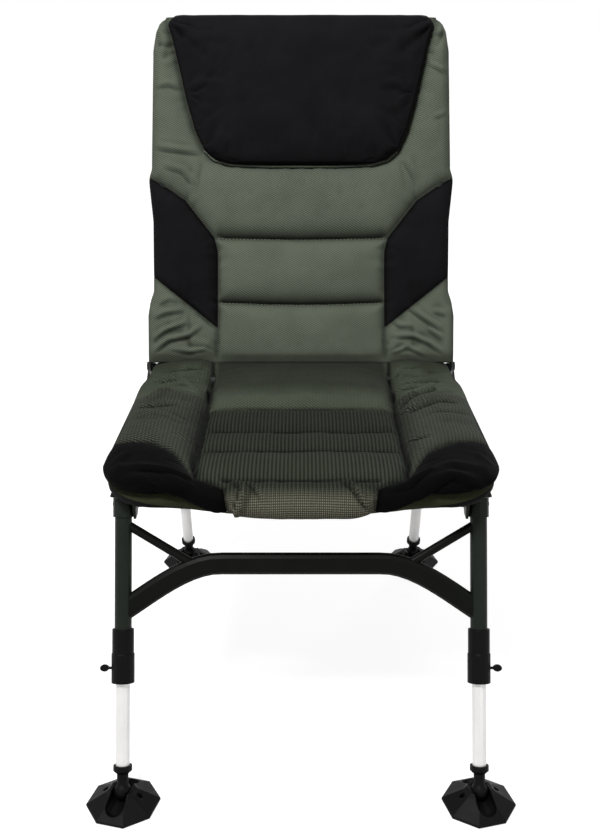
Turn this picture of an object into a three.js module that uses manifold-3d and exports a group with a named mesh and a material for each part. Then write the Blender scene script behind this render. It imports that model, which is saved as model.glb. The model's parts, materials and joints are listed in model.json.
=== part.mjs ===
// Folding carp fishing chair: padded seat, reclining padded back, two folding leg frames and four
// telescopic legs on ball feet. Millimetres, +X to the viewer's right, +Y to the back, +Z up.
import * as THREE from 'three';
import { mergeVertices } from 'three/addons/utils/BufferGeometryUtils.js';
import Module from 'manifold-3d';

const wasm = await Module();
wasm.setup();

// Clearances and cutting
const fitGap = 0.3;
const clothGap = 0.5;
const cutOverrun = 4;
const weldDistance = 0.001;
const roundSides = 16;
const barSides = 14;
const boltSides = 12;
const hexSides = 6;
const ballRings = 10;
const arcSteps = 7;
const shortArcSteps = 6;
const ovalArcSteps = 5;
const frameSteps = 60;
const stretcherSteps = 34;
const backSteps = 52;
const fullTurnAngle = 360;
const halfTurnAngle = 180;
const quarterTurnAngle = 90;
const dipArmShare = 2 / 3;
const curveArmShare = (4 / 3) * (Math.SQRT2 - 1);

// Seat frame
const railTube = 25;
const railHeight = 415.5;
const railHalfSpread = 248.5;
const hingeSpacing = 415;
const railBehindHinge = 21;
const rearBarAhead = 7;
const railEndY = hingeSpacing + railBehindHinge;
const frontBarY = -45;
const frontBarBow = 8;
const frontBarDip = 13;
const frameCorner = 55;
const rearBarTube = 25;
const rearBarY = hingeSpacing - rearBarAhead;

// Leg frames
const hingeBelowRail = 20;
const frontRakeAngle = 23;
const rearRakeAngle = 17.5;
const frontFoldAngle = 96;
const rearFoldAngle = 82;
const frontLegInset = 4.5;
const rearLegInset = 30.5;
const frontHalfSpread = railHalfSpread - frontLegInset;
const rearHalfSpread = railHalfSpread - rearLegInset;
const legTube = 23.5;
const legTubeBore = 19.7;
const legTubeEnd = 207;
const sleeveDiameter = 28.5;
const sleeveAbove = 8.5;
const sleeveBelow = 18;
const hingeBolt = 6;

// Leg hinge brackets and their bolts
const bracketTopThick = 2.5;
const bracketCheek = 3;
const bracketFront = 16;
const bracketBack = 19;
const bracketChin = 11;
const bracketFlare = 2.5;
const bracketDrop = 18;
const boltHeadThick = 4;
const boltHeadAcross = 11;
const nutInShare = 0.8;

// Stretcher and braces, measured down the leg from its hinge
const stretcherAtLeg = 139;
const stretcherInMiddle = 82;
const stretcherFlatHalf = 112;
const stretcherEndAngle = 33;
const stretcherTall = 30.5;
const stretcherDeep = 16;
const braceTube = 12.5;
const braceAtLeg = 31.5;
const braceFootInset = 93;
const braceFootDrop = 81;

// Clamp, knob and inner leg
const clampTop = 171.5;
const clampStep = 205.5;
const clampEnd = 244.5;
const clampUpper = 30;
const clampLower = 31.8;
const innerTube = 19;
const innerBore = 16.6;
const innerTopAtRest = 115;
const screwAt = 225;
const screwDiameter = 4;
const paddleLong = 12.5;
const paddleTall = 9.5;
const paddleThick = 4;
const paddleStandOff = 3;

// Ball foot
const ballHeight = 22;
const ballDiameter = 24;
const neckDiameter = 15.8;
const flangeDiameter = 26;
const flangeBottom = 26;
const flangeFloor = 31.5;
const flangeTop = 35;
const flangeChamfer = 2;
const spigotLength = 22;
const socketGap = 0.9;
const plateAcross = 101;
const plateRim = 4.5;
const plateBevel = 1.5;
const plateShoulder = 7.5;
const plateCrest = 5;
const slotDescentAngle = 9;
const slotEnd = 29;
const endRings = 8;
const slotTurnAngle = 15;
const plateSides = 8;
const plateHole = 8;
const plateHoleOut = 25;

// Back hinge and back frame
const pivotBehindRail = 17;
const pivotY = railEndY + pivotBehindRail;
const pivotRise = 14.5;
const pivotHeight = railHeight + pivotRise;
const backLeanAngle = 18.7;
const backTube = 22;
const backTubeInset = 8.5;
const backHalfSpread = railHalfSpread - backTubeInset;
const backTop = 585;
const backTubeStart = 44;
const backCorner = 55;
const lowerBarTube = 12;
const lowerBarAt = 74;
const earThick = 3;
const earRound = 15;
const earReach = 50;
const earAboveRailFoot = 2;
const earFrontAngle = -30;
const earTopAngle = 120;
const pivotBolt = 8;
const hingePlateWidth = 20;
const hingePlateLength = 88;

// Seat sling and seat cushion
const slingThick = 2.5;
const sideSeamInset = 102.5;
const seatSideSeam = railHalfSpread - sideSeamInset;
const seatRise = 24.5;
const bolsterRise = 11;
const seatSurface = railHeight + seatRise;
const bolsterSurface = seatSurface + bolsterRise;
const padAheadOfBar = 39;
const padRearY = rearBarY - padAheadOfBar;
const padRearRise = 15.5;
const padRearHeight = railHeight + padRearRise;
const padSlopeRun = 43;
const bolsterSlopeRun = 173;
const padSlopeFrom = padRearY - padSlopeRun;
const bolsterSlopeFrom = padRearY - bolsterSlopeRun;
const padOverhang = 8;
const padSideOut = 19.5;
const padSide = railHalfSpread + padSideOut;
const rollDrop = 25.5;
const rollStep = 1;
const rollBottom = railHeight - rollDrop;
const rollInset = 46;
const rollHalf = seatSideSeam - rollInset;
const rollSeam = 9;
const seatChannelShares = [0.6206, 0.3713, 0.1762];
const seatChannels = [...seatChannelShares.map((share) => share * padRearY), frontBarY + rollSeam];
const channelDepth = 7;
const channelHalf = 18;

// Back cushion, headrest and rear panel, measured up the back from its hinge
const backPadStart = 56;
const backPadOver = 5;
const backPadTop = backTop + backPadOver;
const backPadOut = 15.5;
const backPadHalf = backHalfSpread + backPadOut;
const backPadFront = 16;
const backPadCrown = 5;
const crownFrom = 150;
const backPadRear = 2;
const backEdgeThick = 3;
const headrestInset = 10;
const headrestLong = 233;
const headrestTop = backPadTop - headrestInset;
const headrestFrom = headrestTop - headrestLong;
const headrestSeam = 2;
const headrestSeamAt = headrestFrom - headrestSeam;
const backChannelShares = [0.18, 0.56, 1];
const backChannels = backChannelShares
  .map((share) => backPadStart + (headrestSeamAt - backPadStart) * share);
const headrestSideInset = 21.5;
const headrestHalf = backPadHalf - headrestSideInset;
const headrestThick = 21;
const rearPanelThick = 2;
const rearPanelInset = 5.5;
const rearPanelHalf = backPadHalf - rearPanelInset;
const creaseThick = 3;
const creaseHalf = rearPanelHalf;
const creaseStart = 9;
const hingeRun = 58;
const shoulderShare = 0.2;
const bulgeShare = 0.5;
const chinShare = 0.12;
const edgeShare = 0.04;
const edgePower = 4;
const foldedEdge = 14;
const edgeRise = 2.5;
const lipThick = 4;

// Colours
const paintDark = 0x2f3532;
const plasticBlack = 0x151517;
const brightTube = 0xdddcd8;
const clothOlive = 0x5c6152;
const clothSeat = 0x434840;
const clothBlack = 0x1c1b1d;
const steelDark = 0x2a2b2c;

const railRadius = railTube / 2;
const railTop = railHeight + railRadius;
const hingeHeight = railHeight - railRadius - hingeBelowRail;
const half = (value) => value / 2;
const quarter = (value) => value / 4;
const twice = (value) => value * 2;
const radians = THREE.MathUtils.degToRad;

const finish = (color, roughness, metalness) => ({ color, roughness, metalness });
const painted = finish(paintDark, 0.5, 0.35);
const plastic = finish(plasticBlack, 0.55, 0);
const bright = finish(brightTube, 0.35, 0.8);
const steel = finish(steelDark, 0.4, 0.7);
const olive = finish(clothOlive, 0.95, 0);
const seatCloth = finish(clothSeat, 0.95, 0);
const blackCloth = finish(clothBlack, 0.95, 0);

// Welds a geometry to shared vertices, drops flat triangles and turns the faces out.
function weld(geometry) {
  const bare = new THREE.BufferGeometry();
  bare.setAttribute('position', geometry.getAttribute('position').clone());
  if (geometry.index) bare.setIndex(geometry.index.clone());
  const merged = mergeVertices(bare, weldDistance);
  const places = merged.getAttribute('position');
  const from = merged.index.array;
  const kept = [];
  let volume = 0;
  const a = new THREE.Vector3();
  const b = new THREE.Vector3();
  const c = new THREE.Vector3();
  for (let i = 0; i < from.length; i += 3) {
    const [p, q, r] = [from[i], from[i + 1], from[i + 2]];
    if (p === q || q === r || r === p) continue;
    kept.push(p, q, r);
    a.fromBufferAttribute(places, p);
    b.fromBufferAttribute(places, q);
    c.fromBufferAttribute(places, r);
    volume += a.dot(b.cross(c));
  }
  if (volume < 0) {
    for (let i = 0; i < kept.length; i += 3) [kept[i], kept[i + 1]] = [kept[i + 1], kept[i]];
  }
  merged.setIndex(kept);
  return merged;
}

function toSolid(geometry) {
  const welded = weld(geometry);
  return new wasm.Manifold(new wasm.Mesh({
    numProp: 3,
    vertProperties: new Float32Array(welded.getAttribute('position').array),
    triVerts: new Uint32Array(welded.index.array),
  }));
}

function toGeometry(solid) {
  const mesh = solid.getMesh();
  const geometry = new THREE.BufferGeometry();
  const places = new Float32Array(mesh.vertProperties);
  geometry.setAttribute('position', new THREE.BufferAttribute(places, 3));
  geometry.setIndex(Array.from(mesh.triVerts));
  return geometry;
}

function cut(geometry, ...tools) {
  let solid = toSolid(geometry);
  for (const tool of tools) solid = solid.subtract(toSolid(tool));
  return toGeometry(solid);
}

function join(...geometries) {
  let solid = toSolid(geometries[0]);
  for (const other of geometries.slice(1)) solid = solid.add(toSolid(other));
  return toGeometry(solid);
}

function common(first, second) {
  return toGeometry(toSolid(first).intersect(toSolid(second)));
}

// A straight round bar between two points.
function bar(from, to, radius, sides = barSides) {
  const way = new THREE.Vector3().subVectors(to, from);
  const geometry = new THREE.CylinderGeometry(radius, radius, way.length(), sides);
  const turn = new THREE.Quaternion().setFromUnitVectors(
    new THREE.Vector3(0, 1, 0), way.clone().normalize());
  geometry.applyQuaternion(turn);
  const middle = new THREE.Vector3().addVectors(from, to).multiplyScalar(half(1));
  return geometry.translate(middle.x, middle.y, middle.z);
}

const barAlongX = (x0, x1, y, z, radius, sides = boltSides) =>
  bar(new THREE.Vector3(x0, y, z), new THREE.Vector3(x1, y, z), radius, sides);

const block = (x0, x1, y0, y1, z0, z1) =>
  new THREE.BoxGeometry(x1 - x0, y1 - y0, z1 - z0)
    .translate(half(x0 + x1), half(y0 + y1), half(z0 + z1));

// A turned piece on the local Z axis, from [radius, height] pairs that go up its outside.
function turned(pairs, sides = roundSides) {
  const profile = pairs.map(([radius, height]) => new THREE.Vector2(radius, height));
  return new THREE.LatheGeometry(profile, sides).rotateX(radians(quarterTurnAngle));
}

// A ring-shaped piece: outer and inner radius between two heights.
const sleeve = (outer, inner, bottom, top, sides = roundSides) => turned(
  [[inner, bottom], [outer, bottom], [outer, top], [inner, top], [inner, bottom]], sides);

function roundSection(radius, sides = barSides) {
  const corners = [];
  for (let i = 0; i < sides; i += 1) {
    const angle = radians((i / sides) * fullTurnAngle);
    corners.push(new THREE.Vector2(radius * Math.cos(angle), radius * Math.sin(angle)));
  }
  return new THREE.Shape(corners);
}

// A flat oval section, tall in one direction and deep in the other, with half round ends.
function ovalSection(tall, deep) {
  const radius = half(deep);
  const straight = half(tall) - radius;
  const corners = [];
  for (const side of [1, -1]) {
    for (let i = 0; i <= ovalArcSteps; i += 1) {
      const angle = radians((i / ovalArcSteps) * halfTurnAngle);
      corners.push(new THREE.Vector2(
        side * radius * Math.cos(angle),
        side * (straight + radius * Math.sin(angle))));
    }
  }
  return new THREE.Shape(corners);
}

const sweep = (section, path, steps) => new THREE.ExtrudeGeometry(section, {
  extrudePath: path, steps, curveSegments: 1, bevelEnabled: false });

// A plate cut from an outline in the Y and Z directions, standing between two X values.
function plateAcrossX(outline, x0, x1, holes = []) {
  const shape = new THREE.Shape(outline.map(([y, z]) => new THREE.Vector2(y, z)));
  for (const hole of holes) shape.holes.push(hole);
  const thick = x1 - x0;
  const geometry = new THREE.ExtrudeGeometry(shape, { depth: thick, steps: 1, bevelEnabled: false });
  const turn = new THREE.Matrix4().makeBasis(
    new THREE.Vector3(0, 1, 0), new THREE.Vector3(0, 0, 1), new THREE.Vector3(1, 0, 0));
  return geometry.applyMatrix4(turn).translate(x0, 0, 0);
}

// Points of an arc in a plane, from one angle to another in degrees.
function arc(centreA, centreB, radius, start, end, steps) {
  const points = [];
  for (let i = 0; i <= steps; i += 1) {
    const angle = radians(start + ((end - start) * i) / steps);
    points.push([centreA + radius * Math.cos(angle), centreB + radius * Math.sin(angle)]);
  }
  return points;
}

function roundHole(centreA, centreB, radius, sides = boltSides) {
  const hole = new THREE.Path();
  hole.setFromPoints(arc(centreA, centreB, radius, 0, fullTurnAngle - fullTurnAngle / sides, sides - 1)
    .map(([a, b]) => new THREE.Vector2(a, b)));
  return hole;
}

const chair = new THREE.Group();

function addPiece(group, name, geometry, look) {
  const piece = new THREE.Mesh(weld(geometry), new THREE.MeshStandardMaterial(look));
  piece.name = name;
  group.add(piece);
  return piece;
}

const sides = [['left', -1], ['right', 1]];

// Seat frame: one bent tube, open at the rear, with a dip and a bow in its front bar.
function seatFramePath() {
  const path = new THREE.CurvePath();
  const cornerX = railHalfSpread - frameCorner;
  const cornerY = frontBarY + frameCorner;
  const arm = frameCorner * curveArmShare;
  const at = (x, y, z) => new THREE.Vector3(x, y, z);
  const low = railHeight - frontBarDip;
  path.add(new THREE.LineCurve3(at(-railHalfSpread, railEndY, railHeight),
    at(-railHalfSpread, cornerY, railHeight)));
  path.add(new THREE.CubicBezierCurve3(at(-railHalfSpread, cornerY, railHeight),
    at(-railHalfSpread, cornerY - arm, railHeight), at(-cornerX - arm, frontBarY, railHeight),
    at(-cornerX, frontBarY, railHeight)));
  path.add(new THREE.CubicBezierCurve3(at(-cornerX, frontBarY, railHeight),
    at(-cornerX * dipArmShare, frontBarY, railHeight),
    at(-cornerX * (1 - dipArmShare), frontBarY - frontBarBow, low),
    at(0, frontBarY - frontBarBow, low)));
  path.add(new THREE.CubicBezierCurve3(at(0, frontBarY - frontBarBow, low),
    at(cornerX * (1 - dipArmShare), frontBarY - frontBarBow, low),
    at(cornerX * dipArmShare, frontBarY, railHeight),
    at(cornerX, frontBarY, railHeight)));
  path.add(new THREE.CubicBezierCurve3(at(cornerX, frontBarY, railHeight),
    at(cornerX + arm, frontBarY, railHeight), at(railHalfSpread, cornerY - arm, railHeight),
    at(railHalfSpread, cornerY, railHeight)));
  path.add(new THREE.LineCurve3(at(railHalfSpread, cornerY, railHeight),
    at(railHalfSpread, railEndY, railHeight)));
  return path;
}

addPiece(chair, 'seat_frame', sweep(roundSection(railRadius), seatFramePath(), frameSteps), painted);
const railTools = sides.map(([, sign]) => bar(
  new THREE.Vector3(sign * railHalfSpread, rearBarY - railTube, railHeight),
  new THREE.Vector3(sign * railHalfSpread, rearBarY + railTube, railHeight),
  railRadius + fitGap, roundSides));
addPiece(chair, 'seat_rear_bar', cut(barAlongX(-railHalfSpread, railHalfSpread, rearBarY, railHeight,
  half(rearBarTube), barSides), ...railTools), painted);

// Leg hinge bracket under the rail: an inner cheek, a top plate and the stop that the leg's top end
// meets when it stands and when it is folded.
const cheekInner = half(sleeveDiameter) + fitGap;
const cheekOuter = cheekInner + bracketCheek;
const bracketTopZ = hingeBelowRail - fitGap;

function bracketShape(rake, fold, inward) {
  const under = bracketTopZ - bracketTopThick;
  const gussetSide = plateAcrossX([
    [-bracketFront, bracketTopZ], [-bracketFront, 0], [-bracketChin, -bracketDrop],
    [half(bracketChin), -bracketDrop], [bracketBack, 0], [bracketBack, bracketTopZ],
  ], -cheekOuter - bracketFlare, -cheekInner, [roundHole(0, 0, half(hingeBolt) + fitGap)]);
  const gussetFront = new THREE.ExtrudeGeometry(new THREE.Shape([
    new THREE.Vector2(-cheekInner, -bracketDrop - cutOverrun),
    new THREE.Vector2(-cheekInner, bracketTopZ + cutOverrun),
    new THREE.Vector2(-cheekOuter - bracketFlare, bracketTopZ + cutOverrun),
    new THREE.Vector2(-cheekOuter - bracketFlare, bracketTopZ - bracketTopThick),
    new THREE.Vector2(-cheekOuter, -bracketDrop - cutOverrun),
  ]), { depth: bracketFront + bracketBack + twice(cutOverrun), bevelEnabled: false })
    .rotateX(radians(quarterTurnAngle)).translate(0, bracketBack + cutOverrun, 0);
  const innerCheek = common(gussetSide, gussetFront);
  const lid = block(-cheekOuter, cheekInner, -bracketFront, bracketBack, under, bracketTopZ);
  const stopOffset = sleeveAbove + fitGap;
  const atRest = radians(quarterTurnAngle + rake);
  const whenFolded = atRest + radians(fold);
  const touch = (angle) => Math.max(-bracketFront, Math.min(bracketBack,
    (stopOffset - bracketTopZ * Math.sin(angle)) / Math.cos(angle)));
  const tipAngle = half(atRest + whenFolded);
  const tipRadius = stopOffset / Math.cos(half(whenFolded - atRest));
  const stop = plateAcrossX([[tipRadius * Math.cos(tipAngle), tipRadius * Math.sin(tipAngle)],
    [touch(atRest), bracketTopZ], [touch(whenFolded), bracketTopZ]],
  -cheekInner - fitGap, cheekInner);
  const shape = join(innerCheek, lid, stop);
  return inward > 0 ? shape : cut(shape.scale(-1, 1, 1));
}

const hinges = [
  { end: 'front', y: 0, rake: -frontRakeAngle, fold: frontFoldAngle, spread: frontHalfSpread },
  { end: 'rear', y: hingeSpacing, rake: rearRakeAngle, fold: -rearFoldAngle, spread: rearHalfSpread },
];

for (const { end, y, rake, fold, spread } of hinges) {
  for (const [side, sign] of sides) {
    const place = new THREE.Group();
    place.position.set(sign * spread, y, hingeHeight);
    chair.add(place);
    addPiece(place, `${end}_bracket_${side}`, bracketShape(rake, fold, sign), painted);
    const tip = cheekOuter + fitGap;
    const bolt = join(
      barAlongX(-tip - boltHeadThick - bracketFlare, half(sleeveDiameter), 0, 0, half(hingeBolt)),
      barAlongX(-tip - boltHeadThick - bracketFlare, -tip - bracketFlare * nutInShare, 0, 0,
        half(boltHeadAcross), hexSides));
    addPiece(place, `${end}_hinge_bolt_${side}`, sign > 0 ? bolt : bolt.scale(-1, 1, 1), steel);
  }
}

// Leg frame: sleeves, tubes, stretcher, braces and clamps. Local -Z runs down the leg.
function stretcherPath(spread) {
  const angle = radians(stretcherEndAngle);
  const reach = half(spread - stretcherFlatHalf);
  const at = (x, s) => new THREE.Vector3(x, 0, -s);
  const endDown = stretcherAtLeg + half(legTube) * Math.tan(angle);
  const path = new THREE.CurvePath();
  const arm = half(reach + legTube);
  const curve = (sign) => [at(sign * spread, endDown),
    at(sign * (spread - arm * Math.cos(angle)), endDown - arm * Math.sin(angle)),
    at(sign * (stretcherFlatHalf + arm), stretcherInMiddle),
    at(sign * stretcherFlatHalf, stretcherInMiddle)];
  path.add(new THREE.CubicBezierCurve3(...curve(-1)));
  path.add(new THREE.LineCurve3(at(-stretcherFlatHalf, stretcherInMiddle),
    at(stretcherFlatHalf, stretcherInMiddle)));
  path.add(new THREE.CubicBezierCurve3(...curve(1).reverse()));
  return path;
}

const stretcherShape = (spread, extra) => sweep(
  ovalSection(stretcherTall + twice(extra), stretcherDeep + twice(extra)), stretcherPath(spread),
  stretcherSteps);

function legFrame(end, y, rake, spread) {
  const frame = new THREE.Group();
  frame.position.set(0, y, hingeHeight);
  frame.rotation.x = radians(rake);
  chair.add(frame);
  const up = (x, s) => new THREE.Vector3(x, 0, -s);
  const tubeTool = (x) => bar(up(x, -cutOverrun), up(x, clampTop), half(legTube) + fitGap, roundSides);
  const stretcher = cut(stretcherShape(spread, 0), tubeTool(-spread), tubeTool(spread));
  addPiece(frame, `${end}_stretcher`, stretcher, painted);
  for (const [side, sign] of sides) {
    const x = sign * spread;
    const holder = new THREE.Group();
    holder.position.x = x;
    frame.add(holder);
    const boltHole = barAlongX(-legTube, legTube, 0, 0, half(hingeBolt) + fitGap);
    addPiece(holder, `${end}_sleeve_${side}`, cut(
      sleeve(half(sleeveDiameter), half(legTube) + fitGap, -sleeveBelow, sleeveAbove), boltHole),
    painted);
    addPiece(holder, `${end}_leg_tube_${side}`, cut(
      sleeve(half(legTube), half(legTubeBore), -legTubeEnd, sleeveAbove - fitGap), boltHole),
    painted);
    const braceFoot = spread - braceFootInset;
    const brace = bar(up(x, braceAtLeg - quarter(legTube)), up(sign * braceFoot, braceFootDrop),
      half(braceTube));
    addPiece(frame, `${end}_brace_${side}`,
      cut(brace, tubeTool(x), stretcherShape(spread, fitGap)), painted);
    const clamp = turned([
      [half(innerTube) + fitGap, -clampEnd], [half(clampLower), -clampEnd],
      [half(clampLower), -clampStep], [half(clampUpper), -clampStep + half(clampLower - clampUpper)],
      [half(clampUpper), -clampTop], [half(legTube) + fitGap, -clampTop],
      [half(legTube) + fitGap, -legTubeEnd - fitGap],
      [half(innerTube) + fitGap, -legTubeEnd - fitGap], [half(innerTube) + fitGap, -clampEnd],
    ]);
    const screwHole = barAlongX(0, sign * clampLower, 0, -screwAt, half(screwDiameter) + fitGap);
    addPiece(holder, `${end}_clamp_${side}`, cut(clamp, screwHole), plastic);
    addPiece(holder, `${end}_knob_${side}`, knobShape(sign), plastic);
    innerLeg(holder, end, side, rake, legLength(rake));
  }
}

const legLength = (rake) => (hingeHeight - ballHeight) / Math.cos(radians(rake));

// Thumbscrew: a thin screw with a flat paddle head.
function knobShape(sign) {
  const tip = half(innerTube) + fitGap;
  const paddleFrom = half(clampLower) + paddleStandOff;
  const shank = barAlongX(tip, paddleFrom + half(paddleLong), 0, -screwAt, half(screwDiameter));
  const outline = arc(0, 0, 1, 0, fullTurnAngle - fullTurnAngle / roundSides, roundSides - 1)
    .map(([a, b]) => new THREE.Vector2(a * half(paddleLong), b * half(paddleTall)));
  const paddle = new THREE.ExtrudeGeometry(new THREE.Shape(outline), {
    depth: paddleThick, bevelEnabled: false });
  paddle.translate(0, 0, -half(paddleThick)).rotateX(radians(quarterTurnAngle));
  paddle.translate(paddleFrom + half(paddleLong), 0, -screwAt);
  const knob = join(shank, paddle);
  return sign > 0 ? knob : knob.scale(-1, 1, 1);
}

// Inner tube, ball neck and foot plate, with the plate level on the floor.
function innerLeg(holder, end, side, rake, length) {
  const restTop = innerTopAtRest + length - legLength(frontRakeAngle);
  const tube = sleeve(half(innerTube), half(innerBore), -length + flangeFloor + fitGap, -restTop);
  addPiece(holder, `${end}_inner_tube_${side}`, tube, bright);
  const ball = new THREE.Group();
  ball.position.z = -length;
  holder.add(ball);
  addPiece(ball, `${end}_ball_neck_${side}`, neckShape(), plastic);
  const foot = new THREE.Group();
  foot.rotation.x = -radians(rake);
  ball.add(foot);
  addPiece(foot, `${end}_foot_plate_${side}`, footPlateShape(side === 'left' ? -1 : 1), plastic);
}

function neckShape() {
  const radius = half(ballDiameter);
  const neck = half(neckDiameter);
  const flange = half(flangeDiameter);
  const spigot = half(innerBore) - fitGap;
  const groove = half(innerTube) + fitGap;
  const shoulder = Math.acos(neck / radius) / radians(1);
  return turned([
    ...arc(0, 0, radius, -quarterTurnAngle, shoulder, shortArcSteps).map(([r, z], i) => [i ? r : 0, z]),
    [neck, flangeBottom - quarter(flangeDiameter - neckDiameter)],
    [flange, flangeBottom + flangeChamfer],
    [flange, flangeTop], [groove, flangeTop], [groove, flangeFloor], [spigot, flangeFloor],
    [spigot, flangeFloor + spigotLength], [0, flangeFloor + spigotLength],
  ]);
}

function footPlateShape(turnSign) {
  const seatRadius = half(ballDiameter) + socketGap;
  const rim = half(plateAcross);
  const crestOut = seatRadius + plateCrest;
  const dome = turned([
    [0, -ballHeight], [rim - plateBevel, -ballHeight], [rim, -ballHeight + plateBevel],
    [rim, -ballHeight + plateRim], [rim - plateRim, -ballHeight + plateShoulder],
    [crestOut + plateCrest, 0], [crestOut, plateCrest], [0, plateCrest],
  ], plateSides).rotateZ(radians(halfTurnAngle / plateSides));
  const socket = new THREE.SphereGeometry(seatRadius, roundSides, ballRings);
  const descent = Math.tan(radians(slotDescentAngle)) * slotEnd;
  const open = Math.sqrt(seatRadius ** 2 - plateCrest ** 2);
  const trenches = [-1, 1].map((way) => block(-open, open, -plateCrest, slotEnd, 0, ballHeight)
    .rotateX(-radians(slotDescentAngle)).rotateZ(radians(way < 0 ? halfTurnAngle : 0)));
  const slots = [-1, 1].map((way) => join(
    bar(new THREE.Vector3(0, 0, 0), new THREE.Vector3(0, way * slotEnd, -descent), seatRadius,
      boltSides),
    new THREE.SphereGeometry(seatRadius, boltSides, endRings).translate(0, way * slotEnd, -descent)));
  const holes = [-1, 1].map((way) => bar(
    new THREE.Vector3(way * plateHoleOut, 0, -ballHeight - cutOverrun),
    new THREE.Vector3(way * plateHoleOut, 0, plateCrest + cutOverrun), half(plateHole), boltSides));
  return cut(dome, socket, ...slots, ...trenches, ...holes).rotateZ(radians(turnSign * slotTurnAngle));
}

for (const { end, y, rake, spread } of hinges) legFrame(end, y, rake, spread);

// Back hinge: an ear plate on the rail, a plate on the back tube and the bolt between them.
const earInner = railHalfSpread + railRadius + fitGap;
const earOuter = earInner + earThick;
const hingePlateInner = earInner - fitGap - earThick;
const earChin = earAboveRailFoot - pivotRise - railRadius;
const back = new THREE.Group();
back.position.set(0, pivotY, pivotHeight);
chair.add(back);
const leaning = new THREE.Group();
leaning.rotation.x = -radians(backLeanAngle);
back.add(leaning);

function earShape() {
  const outline = [
    [-earReach, earChin], [half(earRound), earChin],
    ...arc(0, 0, earRound, earFrontAngle, earTopAngle, arcSteps), [-earReach, earChin + half(railTube)],
  ];
  return plateAcrossX(outline, earInner, earOuter, [roundHole(0, 0, half(pivotBolt) + fitGap)]);
}

function hingePlateShape() {
  const wide = half(hingePlateWidth);
  const outline = [
    ...arc(0, 0, wide, halfTurnAngle, fullTurnAngle, arcSteps), [wide, hingePlateLength],
    [-wide, hingePlateLength],
  ];
  const plate = plateAcrossX(outline, hingePlateInner, hingePlateInner + earThick,
    [roundHole(0, 0, half(pivotBolt) + fitGap)]);
  const spacerFrom = backHalfSpread + half(backTube) + fitGap;
  const spacers = [backTubeStart + half(backTube), hingePlateLength - half(backTube)].map((z) =>
    barAlongX(spacerFrom, hingePlateInner + half(earThick), 0, z, half(boltHeadAcross)));
  return join(plate, ...spacers);
}

function pivotBoltShape() {
  const headFrom = earOuter + fitGap;
  const nutFrom = hingePlateInner - fitGap;
  return join(
    barAlongX(nutFrom - boltHeadThick, headFrom + boltHeadThick, 0, 0, half(pivotBolt)),
    barAlongX(headFrom, headFrom + boltHeadThick, 0, 0, half(pivotBolt) + boltHeadThick, hexSides),
    barAlongX(nutFrom - boltHeadThick, nutFrom, 0, 0, half(pivotBolt + boltHeadThick),
      hexSides));
}

const flipped = (geometry, sign) => (sign > 0 ? geometry : geometry.scale(-1, 1, 1));

for (const [side, sign] of sides) {
  addPiece(back, `back_ear_${side}`, flipped(earShape(), sign), steel);
  addPiece(back, `back_pivot_bolt_${side}`, flipped(pivotBoltShape(), sign), steel);
  addPiece(leaning, `back_hinge_plate_${side}`, flipped(hingePlateShape(), sign), steel);
}

// Back frame: an inverted U of tube with a cross bar, in the leaning group's own XZ plane.
function backFramePath() {
  const path = new THREE.CurvePath();
  const topLine = backTop - half(backTube);
  const side = backHalfSpread - backCorner;
  const shoulder = topLine - backCorner;
  const arm = backCorner * curveArmShare;
  const at = (x, z) => new THREE.Vector3(x, 0, z);
  path.add(new THREE.LineCurve3(at(-backHalfSpread, backTubeStart), at(-backHalfSpread, shoulder)));
  path.add(new THREE.CubicBezierCurve3(at(-backHalfSpread, shoulder),
    at(-backHalfSpread, shoulder + arm), at(-side - arm, topLine), at(-side, topLine)));
  path.add(new THREE.LineCurve3(at(-side, topLine), at(side, topLine)));
  path.add(new THREE.CubicBezierCurve3(at(side, topLine), at(side + arm, topLine),
    at(backHalfSpread, shoulder + arm), at(backHalfSpread, shoulder)));
  path.add(new THREE.LineCurve3(at(backHalfSpread, shoulder), at(backHalfSpread, backTubeStart)));
  return path;
}

addPiece(leaning, 'back_frame',
  sweep(roundSection(half(backTube)), backFramePath(), backSteps), painted);
const lowerBarSet = half(lowerBarTube) - backPadRear + clothGap;
const backTubeTools = sides.map(([, sign]) => bar(
  new THREE.Vector3(sign * backHalfSpread, 0, lowerBarAt - backTube),
  new THREE.Vector3(sign * backHalfSpread, 0, lowerBarAt + backTube),
  half(backTube) + fitGap, roundSides));
addPiece(leaning, 'back_lower_bar', cut(barAlongX(-backHalfSpread, backHalfSpread, lowerBarSet,
  lowerBarAt, half(lowerBarTube), barSides), ...backTubeTools), painted);

// A closed skin: stations that are loops of as many points each, capped flat at both ends.
// flatten gives the two coordinates in which a station's cap is cut into triangles.
function loftLoops(loops, flatten) {
  const count = loops[0].length;
  const places = [];
  const faces = [];
  for (const loop of loops) for (const point of loop) places.push(point.x, point.y, point.z);
  for (let i = 0; i + 1 < loops.length; i += 1) {
    for (let j = 0; j < count; j += 1) {
      const a = i * count + j;
      const b = i * count + ((j + 1) % count);
      faces.push(a, b, b + count, a, b + count, a + count);
    }
  }
  const cap = (station, backwards) => {
    const flat = loops[station].map(flatten);
    const offset = station * count;
    const triangles = THREE.ShapeUtils.triangulateShape(flat, []);
    const turnedOver = THREE.ShapeUtils.isClockWise(flat) !== backwards;
    for (const [p, q, r] of triangles) {
      const [first, last] = turnedOver ? [p, r] : [r, p];
      faces.push(offset + first, offset + q, offset + last);
    }
  };
  cap(0, false);
  cap(loops.length - 1, true);
  const geometry = new THREE.BufferGeometry();
  geometry.setAttribute('position', new THREE.BufferAttribute(new Float32Array(places), 3));
  geometry.setIndex(faces);
  return geometry;
}

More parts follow.
